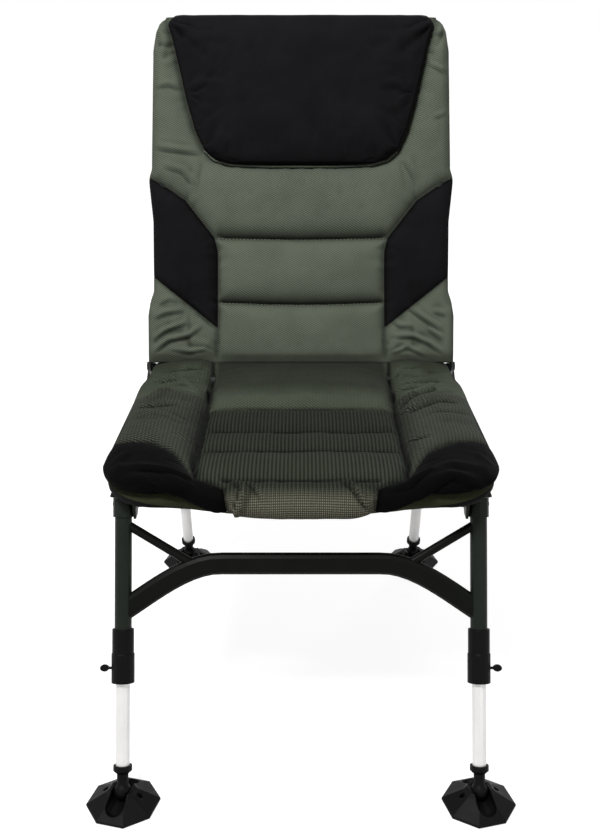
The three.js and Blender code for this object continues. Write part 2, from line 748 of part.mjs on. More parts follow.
const acrossX = (point) => new THREE.Vector2(point.y, point.z);
const acrossZ = (point) => new THREE.Vector2(point.x, point.y);
const smooth = (low, high, value) => THREE.MathUtils.smoothstep(value, low, high);
const mirrored = (list) => [...list.map((x) => -x).reverse(), ...list.slice(1)];
const channel = (distance) => channelDepth * (1 - smooth(0, channelHalf, Math.abs(distance)));

// Edge of an arc round the seat frame's corner, at an X position and for a radius.
const cornerX = railHalfSpread - frameCorner;
const cornerY = frontBarY + frameCorner;

function cornerEdge(x, radius) {
  const out = Math.min(radius, Math.max(0, Math.abs(x) - cornerX));
  return cornerY - Math.sqrt(radius ** 2 - out ** 2);
}

// How much of the front bar's dip and bow an X position has.
const dipShare = (x) => 1 - smooth(0, cornerX, Math.abs(x));

// Seat sling: the cloth panel between the rails that carries the cushion.
const slingTop = railHeight + half(slingThick);
const slingHalf = railHalfSpread - railRadius - clothGap;
const slingRear = rearBarY - half(rearBarTube) - clothGap;
const slingColumnShares = [0, 0.5, 0.82, 0.9, 0.95, 1];

function slingLoop(x) {
  const front = cornerEdge(x, frameCorner - railRadius - clothGap);
  const at = (y, z) => new THREE.Vector3(x, y, z);
  return [at(front, slingTop), at(slingRear, slingTop), at(slingRear, slingTop - slingThick),
    at(front, slingTop - slingThick)];
}

addPiece(chair, 'seat_sling', loftLoops(
  mirrored(slingColumnShares.map((share) => share * slingHalf)).map(slingLoop), acrossX), olive);

// Seat cushion: crowned panels between sewn channels, side bolsters and a front roll that hangs
// over the bar in the middle.
const seatColumns = [0, half(rollHalf), rollHalf, seatSideSeam - channelHalf, seatSideSeam,
  seatSideSeam + channelHalf, cornerX, cornerX + railTube, slingHalf - clothGap,
  railHalfSpread - railRadius, padSide - railRadius, padSide - half(padOverhang), padSide];

function seatLoop(x) {
  const away = Math.abs(x);
  const dip = dipShare(x);
  const tubeFront = cornerEdge(x, frameCorner + railRadius) - frontBarBow * dip;
  const front = cornerEdge(x, frameCorner + railRadius + padOverhang) - frontBarBow * dip;
  const tubeRear = Math.max(tubeFront + railRadius,
    cornerEdge(x, frameCorner - railRadius - clothGap) - frontBarBow * dip + clothGap);
  const tubeZ = railHeight - frontBarDip * dip;
  const edge = smooth(padSide - railTube, padSide, away);
  const overTube = tubeZ + railRadius + clothGap;
  const bottom = overTube + edgeRise * edge;
  const inner = away < slingHalf ? slingTop + clothGap : bottom;
  const hang = rollBottom + (overTube - rollStep - rollBottom) * smooth(rollHalf, cornerX, away);
  const lip = hang + edgeRise * edge;
  const side = smooth(seatSideSeam - channelHalf, seatSideSeam + channelHalf, away);
  const crown = seatSurface + (bolsterSurface - seatSurface) * side - foldedEdge * edge;
  const inPanel = 1 - smooth(seatSideSeam - channelHalf, seatSideSeam, away);
  const slopeFrom = padSlopeFrom + (bolsterSlopeFrom - padSlopeFrom) * side;
  const heightAt = (y) => {
    let low = channel(away - seatSideSeam);
    for (const line of seatChannels) low = Math.max(low, inPanel * channel(y - line));
    const flat = crown - low;
    return flat + (padRearHeight - half(low) - flat) * smooth(slopeFrom, padRearY, y);
  };
  const rows = [padRearY, padRearY - channelHalf, half(padRearY + seatChannels[0]) + channelHalf];
  for (const line of seatChannels) {
    rows.push(line + channelHalf, line + half(channelHalf), line, line - half(channelHalf));
    rows.push(line - channelHalf);
  }
  rows.pop();
  const lastRow = rows[rows.length - 1];
  const anchor = seatChannels[2] - channelHalf;
  const middleFront = cornerEdge(0, frameCorner + railRadius + padOverhang) - frontBarBow;
  const stretch = (anchor - front) / (anchor - middleFront);
  const onTop = rows.map((row) => {
    const y = row < anchor ? anchor + (row - anchor) * stretch : row;
    return [y, heightAt(row)];
  });
  const shoulder = heightAt(lastRow);
  const tall = shoulder - lip;
  const outline = [...onTop,
    [front + lipThick, shoulder - tall * shoulderShare], [front, lip + tall * bulgeShare],
    [front + quarter(lipThick), lip + tall * chinShare], [front + half(lipThick), lip],
    [tubeFront - clothGap, lip],
    [tubeFront - clothGap, Math.max(tubeZ + half(railRadius), lip + fitGap)],
    [tubeFront + lipThick, bottom], [tubeRear, bottom], [tubeRear + clothGap, inner],
    [padRearY, inner]];
  return outline.map(([y, z]) => new THREE.Vector3(x, y, z));
}

addPiece(chair, 'seat_pad', loftLoops(mirrored(seatColumns).map(seatLoop), acrossX), seatCloth);

// Back cushion: its middle fills the space between the tubes, its edges lie in front of them.
const overTubeDepth = half(backTube) + clothGap;
const innerHalf = backHalfSpread - half(backTube) - clothGap;
const backColumns = [0, half(rollHalf), rollHalf, seatSideSeam - channelHalf, seatSideSeam,
  seatSideSeam + channelHalf, backHalfSpread - backCorner, innerHalf - clothGap, innerHalf + clothGap,
  backHalfSpread, backPadHalf - backEdgeThick, backPadHalf];

function backLoop(x) {
  const away = Math.abs(x);
  const edge = smooth(backHalfSpread - half(backTube), backPadHalf, away);
  const inPanel = 1 - smooth(seatSideSeam, seatSideSeam + channelHalf, away);
  const swell = 1 - (away / backPadHalf) ** 2;
  const depthAt = (z) => {
    let low = 0;
    for (const line of backChannels) low = Math.max(low, inPanel * channel(z - line));
    const crown = backPadCrown * swell * smooth(crownFrom - channelHalf, crownFrom, z);
    const full = backPadFront + crown - low;
    const thin = overTubeDepth + backEdgeThick;
    const top = smooth(backPadTop - backTube, backPadTop, z);
    return full + (thin - full) * Math.max(edge, top);
  };
  const rows = [backPadStart];
  let previous = backPadStart - channelHalf;
  for (const line of backChannels) {
    rows.push(half(previous + line), line - channelHalf, line - half(channelHalf), line);
    rows.push(line + half(channelHalf));
    rows.push(line + channelHalf);
    previous = line;
  }
  rows.push(half(headrestFrom + headrestTop), backPadTop - backTube, backPadTop - half(backTube),
    backPadTop);
  const inMiddle = away <= backHalfSpread - backCorner;
  const inTop = backTop - backTube - (inMiddle ? clothGap : backCorner);
  const rear = away < innerHalf ? backPadRear : overTubeDepth;
  const outline = [...rows.map((z) => [-depthAt(z), z]), [-overTubeDepth, backPadTop],
    [-overTubeDepth, inTop], [-rear, inTop - clothGap], [-rear, backPadStart]];
  return outline.map(([y, z]) => new THREE.Vector3(x, y, z));
}

addPiece(leaning, 'back_pad', loftLoops(mirrored(backColumns).map(backLoop), acrossX), olive);

// Headrest pillow: wide at the top, drawn in to a rounded lower edge.
const headrestRise = headrestTop - headrestFrom;
const headrestRowShares = [0, 0.02, 0.06, 0.13, 0.24, 0.42, 0.62, 0.8, 0.93, 1];
const headrestWideShares = [0.5, 0.6, 0.67, 0.73, 0.78, 0.835, 0.89, 0.94, 0.98, 1];
const headrestFullShares = [0.12, 0.45, 0.7, 0.88, 0.97, 1, 1, 0.95, 0.75, 0.4];
const headrestColumnShares = [0, 0.2, 0.4, 0.6, 0.76, 0.88, 0.96, 1];
const headrestBack = backPadFront + backPadCrown + clothGap;

function headrestLoop(share, i) {
  const wide = headrestHalf * headrestWideShares[i];
  const z = headrestFrom + headrestRise * share;
  const front = mirrored(headrestColumnShares).map((column) => {
    const full = headrestFullShares[i] * Math.sqrt(1 - (column ** edgePower) * (1 - edgeShare));
    return new THREE.Vector3(column * wide, -headrestBack - headrestThick * full, z);
  });
  return [...front, new THREE.Vector3(wide, -headrestBack, z),
    new THREE.Vector3(-wide, -headrestBack, z)];
}

addPiece(leaning, 'headrest', loftLoops(headrestRowShares.map(headrestLoop), acrossZ), blackCloth);

// Rear panel: the back of the cover, behind the tubes.
addPiece(leaning, 'back_rear_panel', block(-rearPanelHalf, rearPanelHalf, overTubeDepth,
  overTubeDepth + rearPanelThick, backPadStart, backPadTop - backEdgeThick), olive);

// Cover crease: the cloth that runs from the seat cushion over the hinge line to the back cushion.
const onBack = (up, out) => {
  const lean = radians(backLeanAngle);
  return [pivotY + up * Math.sin(lean) - out * Math.cos(lean),
    pivotHeight + up * Math.cos(lean) + out * Math.sin(lean)];
};

function creaseLoop(x) {
  const edge = padRearHeight - quarter(creaseThick);
  const out = overTubeDepth + half(creaseThick) + clothGap;
  const line = [[padRearY + clothGap, edge], [rearBarY, edge + half(creaseThick)],
    [padRearY + hingeRun, edge + creaseThick], onBack(creaseStart, out),
    onBack(half(backPadStart), out), onBack(backPadStart - clothGap, out)];
  const offset = line.map(([y, z], i) => {
    const [y0, z0] = line[Math.max(0, i - 1)];
    const [y1, z1] = line[Math.min(line.length - 1, i + 1)];
    const long = Math.hypot(y1 - y0, z1 - z0);
    return [y, z, (-(z1 - z0) / long) * half(creaseThick), ((y1 - y0) / long) * half(creaseThick)];
  });
  const upper = offset.map(([y, z, a, b]) => new THREE.Vector3(x, y + a, z + b));
  const lower = offset.map(([y, z, a, b]) => new THREE.Vector3(x, y - a, z - b)).reverse();
  return [...upper, ...lower];
}

addPiece(chair, 'cover_crease', loftLoops([-creaseHalf, 0, creaseHalf].map(creaseLoop), acrossX),
  olive);

// The origin goes to the floor under the middle of the whole chair.
chair.updateMatrixWorld(true);
const extent = new THREE.Box3().setFromObject(chair, true);
chair.position.y = -half(extent.min.y + extent.max.y);

export default chair;
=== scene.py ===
import functools
import json
import math

import bmesh
import bpy
import numpy as np
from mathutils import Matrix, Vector
from mathutils.kdtree import KDTree


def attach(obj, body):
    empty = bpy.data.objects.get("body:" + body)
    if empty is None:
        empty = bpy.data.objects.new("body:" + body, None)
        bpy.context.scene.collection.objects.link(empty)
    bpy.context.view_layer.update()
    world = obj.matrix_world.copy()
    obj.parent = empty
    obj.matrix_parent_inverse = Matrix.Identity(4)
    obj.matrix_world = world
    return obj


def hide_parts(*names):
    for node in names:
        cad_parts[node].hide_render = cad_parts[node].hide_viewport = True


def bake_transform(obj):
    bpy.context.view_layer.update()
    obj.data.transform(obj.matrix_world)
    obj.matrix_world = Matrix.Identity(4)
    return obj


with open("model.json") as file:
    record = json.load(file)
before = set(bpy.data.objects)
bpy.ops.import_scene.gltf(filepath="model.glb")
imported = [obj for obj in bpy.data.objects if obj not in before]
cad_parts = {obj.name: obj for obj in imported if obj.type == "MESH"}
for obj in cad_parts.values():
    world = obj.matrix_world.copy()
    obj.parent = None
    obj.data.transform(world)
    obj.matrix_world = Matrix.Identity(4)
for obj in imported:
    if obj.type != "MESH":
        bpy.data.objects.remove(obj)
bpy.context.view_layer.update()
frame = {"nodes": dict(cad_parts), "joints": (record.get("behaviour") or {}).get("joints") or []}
scene = bpy.context.scene

# The chair is laid out in millimetres, y to the back and z up. SHIFT and LIFT, from the place of the back hinge,
# take them to the frame.
HINGE_Y, HINGE_Z = 453.0, 445.0
hinge = next(joint["pos_m"] for joint in frame["joints"] if joint["name"] == "back_recline")
SHIFT, LIFT = hinge[1] * 1000 - HINGE_Y, hinge[2] * 1000 - HINGE_Z
LEAN = math.radians(18.7)
OUT_OF_BACK = np.array([0, -math.cos(LEAN), math.sin(LEAN)])
UP_BACK = np.array([0, math.sin(LEAN), math.cos(LEAN)])
OUT_OF_SEAT = np.array([0, -0.3, 1.0])


def place(x, y, z):
    """Millimetres on the chair to metres in the frame."""
    shifted = (np.asarray(x, float), np.asarray(y, float) + SHIFT, np.asarray(z, float) + LIFT)
    return np.stack(np.broadcast_arrays(*shifted), -1) / 1000


def on_back(x, r, w):
    """A point of the leaning back: r up from the hinge, w out in front of the tubes."""
    r, w = np.asarray(r, float), np.asarray(w, float)
    return place(x, HINGE_Y + r * math.sin(LEAN) - w * math.cos(LEAN),
                 HINGE_Z + r * math.cos(LEAN) + w * math.sin(LEAN))


# ---------- camera and light
def new_object(name, data):
    made = bpy.data.objects.new(name, data)
    scene.collection.objects.link(made)
    return made


CAMERA_PITCH = math.radians(21.9)
WHITE, FLOOR_GREY = (1.0, 1.0, 1.0), (0.4, 0.4, 0.4)
WORLD_LIGHT = 0.13
GLOW_FROM, GLOW_TO = 1.1, 2.6
GLOW_NEAR, GLOW_FAR = 0.86, 0.98
FLOOR_SIZE, FLOOR_DROP = 60, 0.0005

camera_data = bpy.data.cameras.new("camera")
camera_data.lens = 46.29
camera_data.sensor_width = 36
camera_data.shift_x = -0.0012
camera_data.shift_y = 0.0127
camera_data.clip_end = 200
camera = new_object("camera", camera_data)
camera.location = Vector(place(0, -1333, 1045).tolist())
camera.rotation_euler = (math.radians(90) - CAMERA_PITCH, 0, 0)
scene.camera = camera
scene.view_settings.view_transform = "Standard"


def area_light(name, location, target, size, energy):
    data = bpy.data.lights.new(name, "AREA")
    data.shape = "RECTANGLE"
    data.size, data.size_y = size
    data.energy = energy
    light = new_object(name, data)
    light.location = location
    light.rotation_euler = (Vector(target) - Vector(location)).to_track_quat("-Z", "Y").to_euler()


area_light("key", (-0.9, -1.9, 3.4), (0, 0.1, 0.5), (0.9, 0.7), 126)
area_light("fill", (1.9, -2.3, 1.3), (0, 0.1, 0.5), (1.4, 1.4), 7)
area_light("top", (0, 0.3, 3.0), (0, 0.05, 0.4), (1.8, 1.8), 8)
area_light("back", (1.0, 2.5, 1.9), (0, 0.2, 0.6), (1.6, 1.6), 26)


def blank_tree(owner):
    owner.use_nodes = True
    owner.node_tree.nodes.clear()
    return owner.node_tree


def feed(tree, source, socket):
    """Sets a socket to a number or a colour, or links it to an output."""
    if isinstance(source, (int, float)):
        socket.default_value = source
    elif isinstance(source, tuple):
        socket.default_value = (*source, 1)
    else:
        tree.links.new(source, socket)


def add_node(tree, kind, inputs=None, output=0, **settings):
    """Adds a shader node with its settings, feeds its inputs, and returns one output if it has any."""
    node = tree.nodes.new("ShaderNode" + kind)
    for name, value in settings.items():
        setattr(node, name, value)
    for socket, source in (inputs or {}).items():
        feed(tree, source, node.inputs[socket])
    return node.outputs[output] if node.outputs else None


def light_path_mix(tree, plain, seen):
    """The seen shader for camera, glossy and transmission rays, the plain one for the rest."""
    share = add_node(tree, "LightPath", output="Is Camera Ray")
    for ray in ("Is Glossy Ray", "Is Transmission Ray"):
        share = add_node(tree, "Math", {0: share, 1: add_node(tree, "LightPath", output=ray)}, operation="MAXIMUM")
    return add_node(tree, "MixShader", {0: share, 1: plain, 2: seen})


world = bpy.data.worlds.new("studio")
scene.world = world
tree = blank_tree(world)
dim, white = [add_node(tree, "Background", {"Color": WHITE, "Strength": light}) for light in (WORLD_LIGHT, 1.0)]
add_node(tree, "OutputWorld", {"Surface": light_path_mix(tree, dim, white)})

bpy.ops.mesh.primitive_plane_add(size=FLOOR_SIZE, location=(0, 0, -FLOOR_DROP))
floor = bpy.context.object
floor.name = "floor"
floor_material = bpy.data.materials.new("floor")
tree = blank_tree(floor_material)
paint = add_node(tree, "BsdfDiffuse", {"Color": FLOOR_GREY})
away = add_node(tree, "VectorMath", {0: add_node(tree, "TexCoord", output="Object")}, "Value", operation="LENGTH")
strength = add_node(tree, "MapRange", {"Value": away, "From Min": GLOW_FROM, "From Max": GLOW_TO,
                                       "To Min": GLOW_NEAR, "To Max": GLOW_FAR})
glow = add_node(tree, "Emission", {"Color": WHITE, "Strength": strength})
both = add_node(tree, "AddShader", {0: paint, 1: glow})
add_node(tree, "OutputMaterial", {"Surface": light_path_mix(tree, paint, both)})
floor.data.materials.append(floor_material)


# ---------- materials
class Nodes:
    """A material, with short names for the nodes that its shader uses."""

    def __init__(self, name):
        self.material = bpy.data.materials.new(name)
        self.tree = blank_tree(self.material)
        self.shader = self.tree.nodes.new("ShaderNodeBsdfPrincipled")
        self.add("OutputMaterial", {"Surface": self.shader.outputs[0]})
        self.at = self.add("TexCoord", output="Object")

    def add(self, kind, inputs=None, output=0, **settings):
        return add_node(self.tree, kind, inputs, output, **settings)

    def put(self, **sockets):
        for name, source in sockets.items():
            feed(self.tree, source, self.shader.inputs[name.replace("_", " ")])

    def math(self, operation, a, b=0.0, c=0.0):
        return self.add("Math", {0: a, 1: b, 2: c}, operation=operation)

    def plus(self, a, b):
        return self.math("ADD", a, b)

    def times(self, a, b, plus=0.0):
        return self.math("MULTIPLY_ADD", a, b, plus)

    def noise(self, scale, detail):
        return self.add("TexNoise", {"Vector": self.at, "Scale": scale, "Detail": detail}, "Fac")

    def uv(self):
        return [self.add("SeparateXYZ", {0: self.add("UVMap", uv_map="cloth")}, axis) for axis in (0, 1)]

    def wave(self, value, period):
        """A sine of a length in metres, from 0 to 1."""
        return self.times(self.math("SINE", self.times(value, math.tau / period)), 0.5, 0.5)

    def attribute(self, name):
        return self.add("Attribute", output="Fac", attribute_name=name)

    def step(self, value, low, high):
        return self.add("MapRange", {"Value": value, "From Min": low, "From Max": high},
                        interpolation_type="SMOOTHSTEP")

    def mix(self, share, a, b):
        return self.add("Mix", {0: share, 6: a, 7: b}, 2, data_type="RGBA")

    def shaded(self, colour, amount=0.6):
        """The colour, darkened by painted shade where the cloth's painted shade attribute says: in seams, in hollows
        and where shade falls.
        """
        return self.mix(self.times(self.attribute("painted_shade"), amount), colour, (0.0, 0.0, 0.0))

    def bump(self, height, strength, distance, edge=0.0):
        """Relief of the shader's normal; edge is the radius that rounds off sharp edges."""
        inputs = {"Height": height, "Strength": strength, "Distance": distance}
        if edge:
            inputs["Normal"] = self.add("Bevel", {"Radius": edge})
        self.put(Normal=self.add("Bump", inputs))


def srgb(r, g, b):
    return tuple(((c / 255 + 0.055) / 1.055) ** 2.4 if c > 10 else c / 255 / 12.92 for c in (r, g, b))


# Each cloth's darker and lighter yarns, and the periods of the weaves in metres.
TWILL = srgb(62, 67, 57), srgb(109, 116, 102)
PLAIN = srgb(48, 53, 43), srgb(84, 91, 77)
RIB = srgb(20, 23, 17), srgb(57, 62, 52)
FINE = srgb(13, 15, 12), srgb(77, 80, 70)
WAFFLE = srgb(40, 41, 33), srgb(138, 135, 118)
BLACK = srgb(14, 14, 15), srgb(31, 30, 32)
# Darker tones of the black weave, for the seat's patches.
SEAT_PATCH_BLACK = srgb(5, 5, 6), srgb(14, 13, 14)
HEM = srgb(42, 45, 30), srgb(66, 70, 50)
HEM_LOWER_BLACK = srgb(12, 12, 12)
THREAD_TONES = srgb(104, 105, 92), srgb(150, 149, 134)
TWILL_PERIOD, PLAIN_PERIOD, SLANT_PERIOD = 0.0034, 0.003, 0.0036
RIB_PERIOD, KNOT_PERIOD, BLACK_PERIOD = 0.0054, 0.0029, 0.0016
SLANT = 0.55
EDGE = 0.8


def twill(n, tones, period):
    """Woven cloth with fine diagonal lines, uneven yarns and a slow change of tone: its colour and height."""
    along, across = n.uv()
    lines = n.wave(n.plus(across, n.times(along, SLANT)), period)
    yarn = n.noise(1400, 2)
    share = n.times(lines, 0.7, n.times(yarn, 0.7))
    share = n.times(n.noise(14, 3), 0.5, n.plus(share, -0.45))
    return n.mix(share, *tones), n.times(yarn, 0.5, lines)


def black_weave(n, tones):
    along, across = n.uv()
    fibre = n.noise(900, 3)
    ribs = n.times(n.wave(along, BLACK_PERIOD), n.wave(across, BLACK_PERIOD))
    share = n.times(n.noise(18, 3), 0.6, n.times(fibre, 0.5))
    return n.mix(share, *tones), n.plus(ribs, fibre)


def patched(n, colour, height, black_tones, shade, rough, distance):
    """Sews black patches on a cloth, where its patch attribute says, and darkens the whole with painted shade, by
    the share shade.
    """
    black, black_height = black_weave(n, black_tones)
    patch = n.step(n.attribute("patch"), -EDGE, EDGE)
    n.put(Base_Color=n.shaded(n.mix(patch, colour, black), shade), Roughness=rough, Sheen_Weight=0.02,
          Specular_IOR_Level=n.times(patch, -0.06, 0.07))
    uncovered = n.times(height, n.times(patch, -1.0, 1.0))
    n.bump(n.plus(uncovered, n.times(black_height, patch)), 0.5, distance)
    return n.material


def back_cloth():
    n = Nodes("olive_twill_black")
    return patched(n, *twill(n, TWILL, TWILL_PERIOD), BLACK, 0.6, 0.95, 0.0005)


def seat_cloth():
    """Plain twill at the rear, fine mesh on the bolsters, ribs between the channels and a waffle on the roll."""
    n = Nodes("olive_mesh_black")
    along, across = n.uv()
    plain, plain_height = twill(n, PLAIN, TWILL_PERIOD)
    ribs, knots = n.wave(along, RIB_PERIOD), n.wave(across, KNOT_PERIOD)
    fine = n.noise(1100, 2)
    uneven = n.times(n.plus(fine, n.noise(16, 3)), 0.3, -0.2)
    share = n.times(ribs, n.times(knots, 0.25, 0.75))
    ribbed = n.mix(n.plus(share, uneven), *RIB)
    slant = n.wave(n.plus(n.times(along, SLANT), across), SLANT_PERIOD)
    lines = n.times(slant, n.times(ribs, 0.5, 0.5))
    side = n.mix(n.plus(lines, uneven), *FINE)
    cells = n.times(n.wave(along, RIB_PERIOD / 2), knots)
    waffle = n.mix(n.times(cells, 1.2, n.times(fine, 0.2)), *WAFFLE)
    mesh = n.mix(n.step(n.attribute("roll"), -22, 12), ribbed, waffle)
    mesh = n.mix(n.step(n.attribute("middle"), -1, 1), side, mesh)
    colour = n.mix(n.step(n.attribute("plain"), -1, 1), mesh, plain)
    height = n.plus(n.times(ribs, 1.6), n.plus(knots, plain_height))
    return patched(n, colour, height, SEAT_PATCH_BLACK, 0.78, 0.93, 0.0006)


def plain_cloth(name, tones, sheen, lower_band=None):
    """Twill without patches. A near black colours its lower part, where an attribute marks it."""
    n = Nodes(name)
    colour, height = twill(n, tones, PLAIN_PERIOD)
    if lower_band:
        colour = n.mix(n.step(n.attribute("lower_band"), -EDGE, EDGE), colour, lower_band)
    n.put(Base_Color=colour, Roughness=0.93, Specular_IOR_Level=0.08, Sheen_Weight=sheen)
    n.bump(height, 0.45, 0.0005)
    return n.material


def black_cloth():
    n = Nodes("black_woven")
    colour, height = black_weave(n, BLACK)
    # The black weave is darkened with painted shade, where the cloth's painted shade attribute says.
    n.put(Base_Color=n.shaded(colour), Roughness=0.92, Specular_IOR_Level=0.02)
    n.bump(height, 0.5, 0.0005)
    return n.material


def thread():
    n = Nodes("thread")
    n.put(Base_Color=n.mix(n.noise(500, 2), *THREAD_TONES), Roughness=0.9, Specular_IOR_Level=0.1)
    n.bump(n.noise(3000, 2), 0.3, 0.0002)
    return n.material


def hard(name, dark, light, specular, tone, grain, rough, uneven, bump, streaky=False, **sockets):
    """Coat, metal or plastic: a slow change of tone, uneven gloss and a fine grain, which are two noises."""
    n = Nodes(name)
    slow, fine = n.noise(tone, 3), n.noise(*grain)
    gloss = n.times(fine if streaky else slow, uneven, rough)
    n.put(Base_Color=n.mix(slow, srgb(*dark), srgb(*light)), Roughness=gloss, Specular_IOR_Level=specular, **sockets)
    n.bump(fine, *bump)
    return n.material


POWDER = {"tone": 30, "grain": (2600, 2), "rough": 0.36, "uneven": 0.16, "bump": (0.12, 0.0003),
          "Coat_Weight": 0.03, "Coat_Roughness": 0.3}
BACK_CLOTH = back_cloth()
SEAT_CLOTH = seat_cloth()
OLIVE_CLOTH = plain_cloth("olive_twill", TWILL, 0.03)
HEM_CLOTH = plain_cloth("olive_hem", HEM, 0.02, HEM_LOWER_BLACK)
BLACK_CLOTH = black_cloth()
THREAD = thread()
COAT = hard("powder_coat", (19, 24, 20), (30, 35, 29), 0.1, **POWDER)
# The stretchers and braces get the coat in darker tones, with less gloss.
STRETCHER_COAT = hard("stretcher_powder_coat", (7, 8, 6), (14, 16, 13), 0.05, **POWDER)
STEEL = hard("dark_steel", (16, 17, 18), (30, 30, 31), 0.3, 60, (1800, 2), 0.36, 0.2, (0.1, 0.0002), Metallic=0.4)
BRIGHT = hard("bright_tube", (222, 221, 220), (244, 243, 242), 0.5, 22, (240, 2), 0.24, 0.2, (0.05, 0.0002),
              streaky=True, Metallic=0.45)
PLASTIC = hard("black_plastic", (4, 4, 5), (10, 10, 11), 0.08, 45, (1500, 3), 0.4, 0.2, (0.14, 0.0003, 0.0024))

LOOKS = ((("inner_tube",), BRIGHT), (("clamp", "knob", "neck", "foot_plate"), PLASTIC),
         (("bolt", "ear", "hinge_plate"), STEEL), (("stretcher", "brace"), STRETCHER_COAT), (("",), COAT))
for name, node in frame["nodes"].items():
    node.data.materials.clear()
    node.data.materials.append(next(look for words, look in LOOKS if any(word in name for word in words)))


# ---------- fields
NOISE_CELLS = 64
NOISE_GAIN = 1.8


def soft_noise(x, y, seed):
    """Gradient noise from about -1 to 1, one cell a unit, the same on each run."""
    angles = np.random.RandomState(seed).rand(NOISE_CELLS, NOISE_CELLS) * math.tau
    gx, gy = np.cos(angles), np.sin(angles)
    xi, yi = np.floor(x).astype(int), np.floor(y).astype(int)
    xf, yf = x - xi, y - yi
    value = 0
    for dx in (0, 1):
        for dy in (0, 1):
            a, b = (xi + dx) % NOISE_CELLS, (yi + dy) % NOISE_CELLS
            near_x, near_y = 1 - np.abs(xf - dx), 1 - np.abs(yf - dy)
            weight = (near_x ** 2 * (3 - 2 * near_x)) * (near_y ** 2 * (3 - 2 * near_y))
            value += weight * (gx[a, b] * (xf - dx) + gy[a, b] * (yf - dy))
    return value * NOISE_GAIN


def ease(low, high, value):
    """From 0 at low to 1 at high, level at both ends."""
    t = np.clip((value - low) / (high - low), 0, 1)
    return t * t * (3 - 2 * t)


def bell(value):
    """1 at nought, falling off smoothly on both sides."""
    return np.exp(-value ** 2)


def dome(share):
    """A quarter of a circle, from 0 at 0 to 1 at 1 and beyond."""
    return np.sqrt(1 - (1 - np.clip(share, 0, 1)) ** 2)


def most(*layers):
    """The largest of several arrays, point by point."""
    return functools.reduce(np.maximum, layers)


def trace(x, y, line):
    """Distance to a line of points, how far along the nearest place is, on which side, and the line's length."""
    best, along, side = np.full(np.shape(x), 1e9), np.zeros(np.shape(x)), np.zeros(np.shape(x))
    run = 0.0
    for (x0, y0), (x1, y1) in zip(line[:-1], line[1:]):
        dx, dy = x1 - x0, y1 - y0
        length = math.hypot(dx, dy)
        t = np.clip(((x - x0) * dx + (y - y0) * dy) / length ** 2, 0, 1)
        d = np.hypot(x - x0 - t * dx, y - y0 - t * dy)
        nearer = d < best
        best, along = np.where(nearer, d, best), np.where(nearer, run + t * length, along)
        side = np.where(nearer, np.sign(dx * (y - y0) - dy * (x - x0)), side)
        run += length
    return best, along, side, run


def nearest(x, y, lines):
    return functools.reduce(np.minimum, [trace(x, y, line)[0] for line in lines])


def inside(x, y, corners):
    """Is a point inside a closed outline?"""
    found = np.zeros(np.shape(x), bool)
    for (x0, y0), (x1, y1) in zip(corners, corners[1:] + corners[:1]):
        if y0 != y1:
            found ^= ((y0 > y) != (y1 > y)) & (x < (x1 - x0) * (y - y0) / (y1 - y0) + x0)
    return found


def signed(x, y, corners):
    """Distance inside a closed outline, negative outside it."""
    distance = nearest(x, y, [corners + corners[:1]])
    return np.where(inside(x, y, corners), distance, -distance)


def both_sides(line):
    return [line, [(-x, y) for x, y in line]]


def line_rows(*rows):
    """Rows of a line's coordinates, x and y by turns, and two values, as rows of the line and the values."""
    return [(list(zip(row[:-2:2], row[1:-2:2])), *row[-2:]) for row in rows]


def mirrored(line, *values):
    return [(side, *values) for side in both_sides(line)]


def groove(x, y, line, depth, width, pucker, seed, pitch):
    """A sewn seam: a rounded valley with small puckers across it."""
    d, along, _, _ = trace(x, y, line)
    ripple = soft_noise(along / pitch, np.full(np.shape(d), seed * 3.7), seed)
    return depth * np.exp(-(d / width) ** 1.25) + pucker * ripple * bell(d / (2.6 * width)) * np.minimum(1, d / 4)


def pinch(x, y, centre, reach, height, folds, seed, way, spread):
    """Folds that run out from a point one way, strongest near it. way is in degrees, spread in radians."""
    dx, dy = x - centre[0], y - centre[1]
    d, angle = np.hypot(dx, dy), np.arctan2(dy, dx)
    wobble = soft_noise(d / 26 + seed, angle * 1.4, seed) * 1.1
    crest = np.cos(angle * folds + wobble * 2.4)
    crest = np.sign(crest) * np.abs(crest) ** 0.8
    turn = np.abs((angle - math.radians(way) + math.pi) % math.tau - math.pi)
    return height * crest * np.exp(-d / reach) * np.minimum(1, d / 12) * bell(turn / spread)


def fold(x, y, line, height, width, skew=0.0):
    """One soft ridge along a line, with a shallow dip on both sides, that fades at both ends."""
    d, along, _, whole = trace(x, y, line)
    ends = np.sin(np.clip(along / whole, 0, 1) * math.pi) ** 0.7
    return height * ends * (bell(d / width) - skew * bell(d / (2 * width)))


def crease(x, y, line, height, width):
    """A sharp fold: a valley along the line and a soft ridge on its left side, fading at both ends."""
    d, along, side, whole = trace(x, y, line)
    s = d * side
    ends = np.sin(np.clip(along / whole, 0, 1) * math.pi) ** 0.6
    past = bell(np.maximum(0, d - 3 * width) / width)
    return height * ends * past * (bell((s - 1.2 * width) / width) - 0.7 * bell(s / (0.5 * width)))


def wave(x, y, height, size_x, size_y, seed):
    return height * soft_noise(x / size_x, y / size_y, seed)


def total(x, y, *tables):
    """The sum of a surface's forms, in millimetres. Each table is a function and the values of its calls."""
    h = np.zeros(np.shape(x))
    for form, rows in tables:
        for row in rows:
            h += form(x, y, *row)
    return h


def puff(distance, height, reach):
    """A panel that swells away from its seams."""
    return height * (1 - np.exp(-distance / reach))


def cut(x, y, seams):
    """How deep the seams cut in, in millimetres."""
    return most(np.zeros(np.shape(x)), *[groove(x, y, *seam) for seam in seams])


def spacing(count):
    """Places from -1 to 1, closer together towards both ends."""
    t = np.linspace(-1, 1, count)
    return 0.6 * t + 0.4 * np.sin(t * math.pi / 2)


